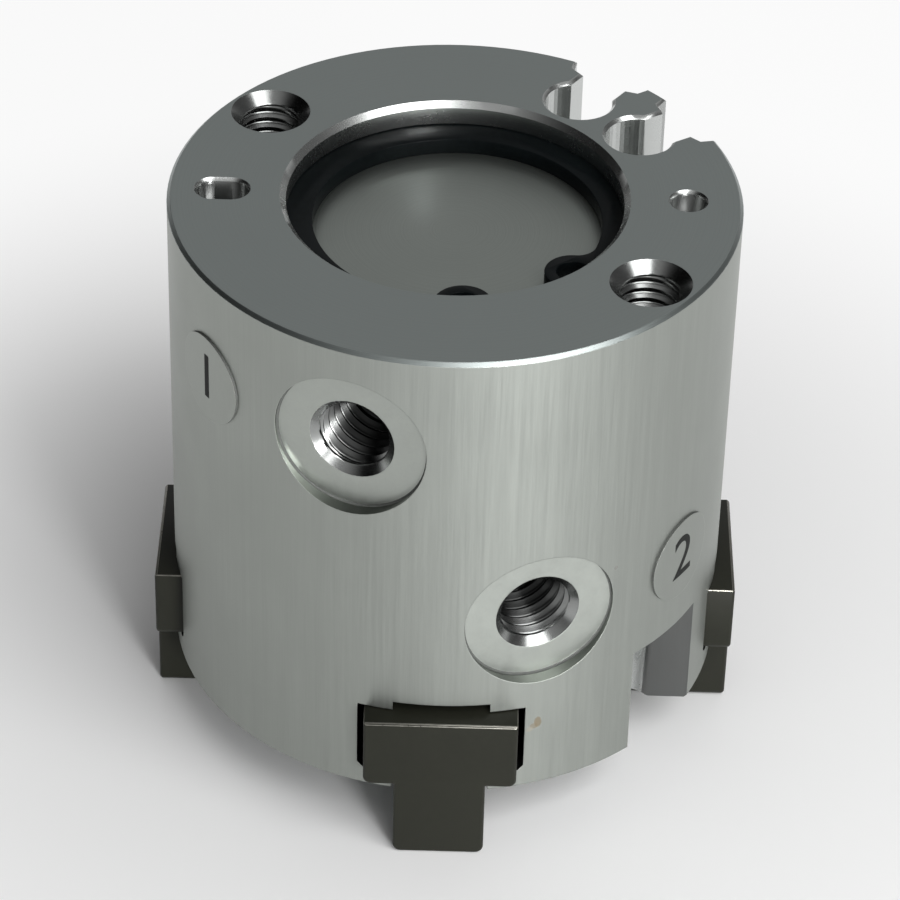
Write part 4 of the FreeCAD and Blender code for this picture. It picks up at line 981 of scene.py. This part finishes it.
class GRIPPER_OT_stage(bpy.types.Operator):
    """Set up the pale floor, the soft studio light and the camera"""
    bl_idname = "gripper.stage"
    bl_label = "Studio"

    LAMPS = {  # place and size of each, in metres
        "key": ((0.14, -0.18, 0.25), (0.24, 0.20)),
        "strip": ((0.163, -0.365, 0.055), (0.08, 0.10)),
    }

    def execute(self, context):
        _, _, studio = settings()
        context.scene.view_settings.view_transform = "Standard"
        self.make_floor(studio)
        self.make_sky(studio)
        middle = (0.0, 0.0, studio.aim_height)
        for name, (place, size) in self.LAMPS.items():
            lamp(name + "_lamp", place, middle, size, getattr(studio, name + "_power"))
        self.make_camera(context, studio)
        return {"FINISHED"}

    def make_floor(self, studio):
        bm = bmesh.new()
        bmesh.ops.create_circle(bm, cap_ends=True, segments=96, radius=1.5)
        mesh = bpy.data.meshes.new("floor")
        bm.to_mesh(mesh)
        bm.free()
        material, g, shader, place = new_material("pale_floor")
        soft = g.add("ShaderNodeTexNoise", named={"Vector": place, "Scale": 30.0, "Detail": 2.0})
        light, dark = opaque(studio.floor), opaque([channel * 0.985 for channel in studio.floor])
        g.put(g.blend(soft.outputs[0], dark, light), shader.inputs["Base Color"])
        shader.inputs["Roughness"].default_value = 0.75
        shader.inputs["Specular IOR Level"].default_value = 0.2
        rays = g.add("ShaderNodeLightPath")
        seen = g.math("MAXIMUM", rays.outputs["Is Camera Ray"], rays.outputs["Is Glossy Ray"])
        seen = g.math("MAXIMUM", seen, rays.outputs["Is Transmission Ray"])
        away = g.add("ShaderNodeVectorMath", place, operation="LENGTH").outputs["Value"]
        far = g.span(away, 0.018, 0.07, 0.0, studio.floor_white, smooth=True)
        white = g.add("ShaderNodeEmission", (1.0, 1.0, 1.0, 1.0), 1.0)
        mixed = g.add("ShaderNodeMixShader", g.math("MULTIPLY", far, seen), shader, white)
        g.put(mixed, material.node_tree.nodes["Material Output"].inputs[0])
        mesh.materials.append(material)
        floor = bpy.data.objects.new("floor", mesh)
        floor.location.z = FOOT_LEVEL - 0.01 * MM
        bpy.context.scene.collection.objects.link(floor)

    def make_sky(self, studio):
        """Soft light all round, dimmer at the sides, with a pale band along the horizon."""
        world = bpy.data.worlds.new("studio_sky")
        bpy.context.scene.world = world
        world.use_nodes = True
        world.node_tree.nodes.clear()
        g = Graph(world.node_tree)
        direction = g.add("ShaderNodeTexCoord").outputs["Generated"]
        parts = g.add("ShaderNodeSeparateXYZ", direction)
        left = g.span(parts.outputs[0], -0.80, -0.20, studio.sky_left, studio.sky, smooth=True)
        fading = g.span(parts.outputs[0], 0.35, 0.85, 1.0, studio.sky_right / studio.sky, smooth=True)
        near_horizon = g.span(parts.outputs[2], 0.02, 0.12, 1.0, 0.0, smooth=True)
        around = g.math("MULTIPLY", left, fading)
        rise = g.math("MULTIPLY", near_horizon, g.math("SUBTRACT", studio.horizon, around))
        level = g.math("ADD", around, rise)
        background = g.add("ShaderNodeBackground", (1.0, 1.0, 1.0, 1.0), level)
        g.add("ShaderNodeOutputWorld", background)

    def make_camera(self, context, studio):
        """Place the camera on its elevation, then roll it and slide it across its own view."""
        back = Vector((0.0, -math.cos(studio.elevation), math.sin(studio.elevation)))
        right = Vector((1.0, 0.0, 0.0))
        up = back.cross(right)
        across = math.cos(studio.roll) * right + math.sin(studio.roll) * up
        upright = math.cos(studio.roll) * up - math.sin(studio.roll) * right
        data = bpy.data.cameras.new("camera")
        data.lens = studio.lens
        data.sensor_width = 36.0
        data.clip_start = 0.01
        data.clip_end = 20.0
        camera = bpy.data.objects.new("camera", data)
        place = Vector((0.0, 0.0, studio.aim_height)) + back * studio.distance
        place += across * studio.aim_right + upright * studio.aim_up
        turn = Matrix((across, upright, back)).transposed()
        camera.matrix_world = Matrix.Translation(place) @ turn.to_4x4()
        context.scene.collection.objects.link(camera)
        context.scene.camera = camera


PIECES = (
    GRIPPER_OT_housing, GRIPPER_OT_threads, GRIPPER_OT_jaws, GRIPPER_OT_cover,
    GRIPPER_OT_labels, GRIPPER_OT_base, GRIPPER_OT_drive, GRIPPER_OT_stage,
)


class GRIPPER_PT_panel(bpy.types.Panel):
    """Buttons for each piece of the gripper"""
    bl_idname = "GRIPPER_PT_panel"
    bl_label = "Gripper"
    bl_space_type = "VIEW_3D"
    bl_region_type = "UI"
    bl_category = "Gripper"

    def draw(self, context):
        for piece in PIECES:
            self.layout.operator(piece.bl_idname)


GROUPS = {
    "gripper_sizes": GripperSizes, "gripper_finish": GripperFinish, "gripper_studio": GripperStudio,
}


def register():
    for kind in (*GROUPS.values(), *PIECES, GRIPPER_PT_panel):
        bpy.utils.register_class(kind)
    for name, kind in GROUPS.items():
        setattr(bpy.types.Scene, name, PointerProperty(type=kind))


def unregister():
    for name in GROUPS:
        delattr(bpy.types.Scene, name)
    for kind in reversed((*GROUPS.values(), *PIECES, GRIPPER_PT_panel)):
        bpy.utils.unregister_class(kind)


def plain(box):
    return [[float(number) for number in corner] for corner in box]


def main():
    register()
    for piece in PIECES:
        family, name = piece.bl_idname.split(".")
        getattr(getattr(bpy.ops, family), name)()


if __name__ == "__main__":
    main()
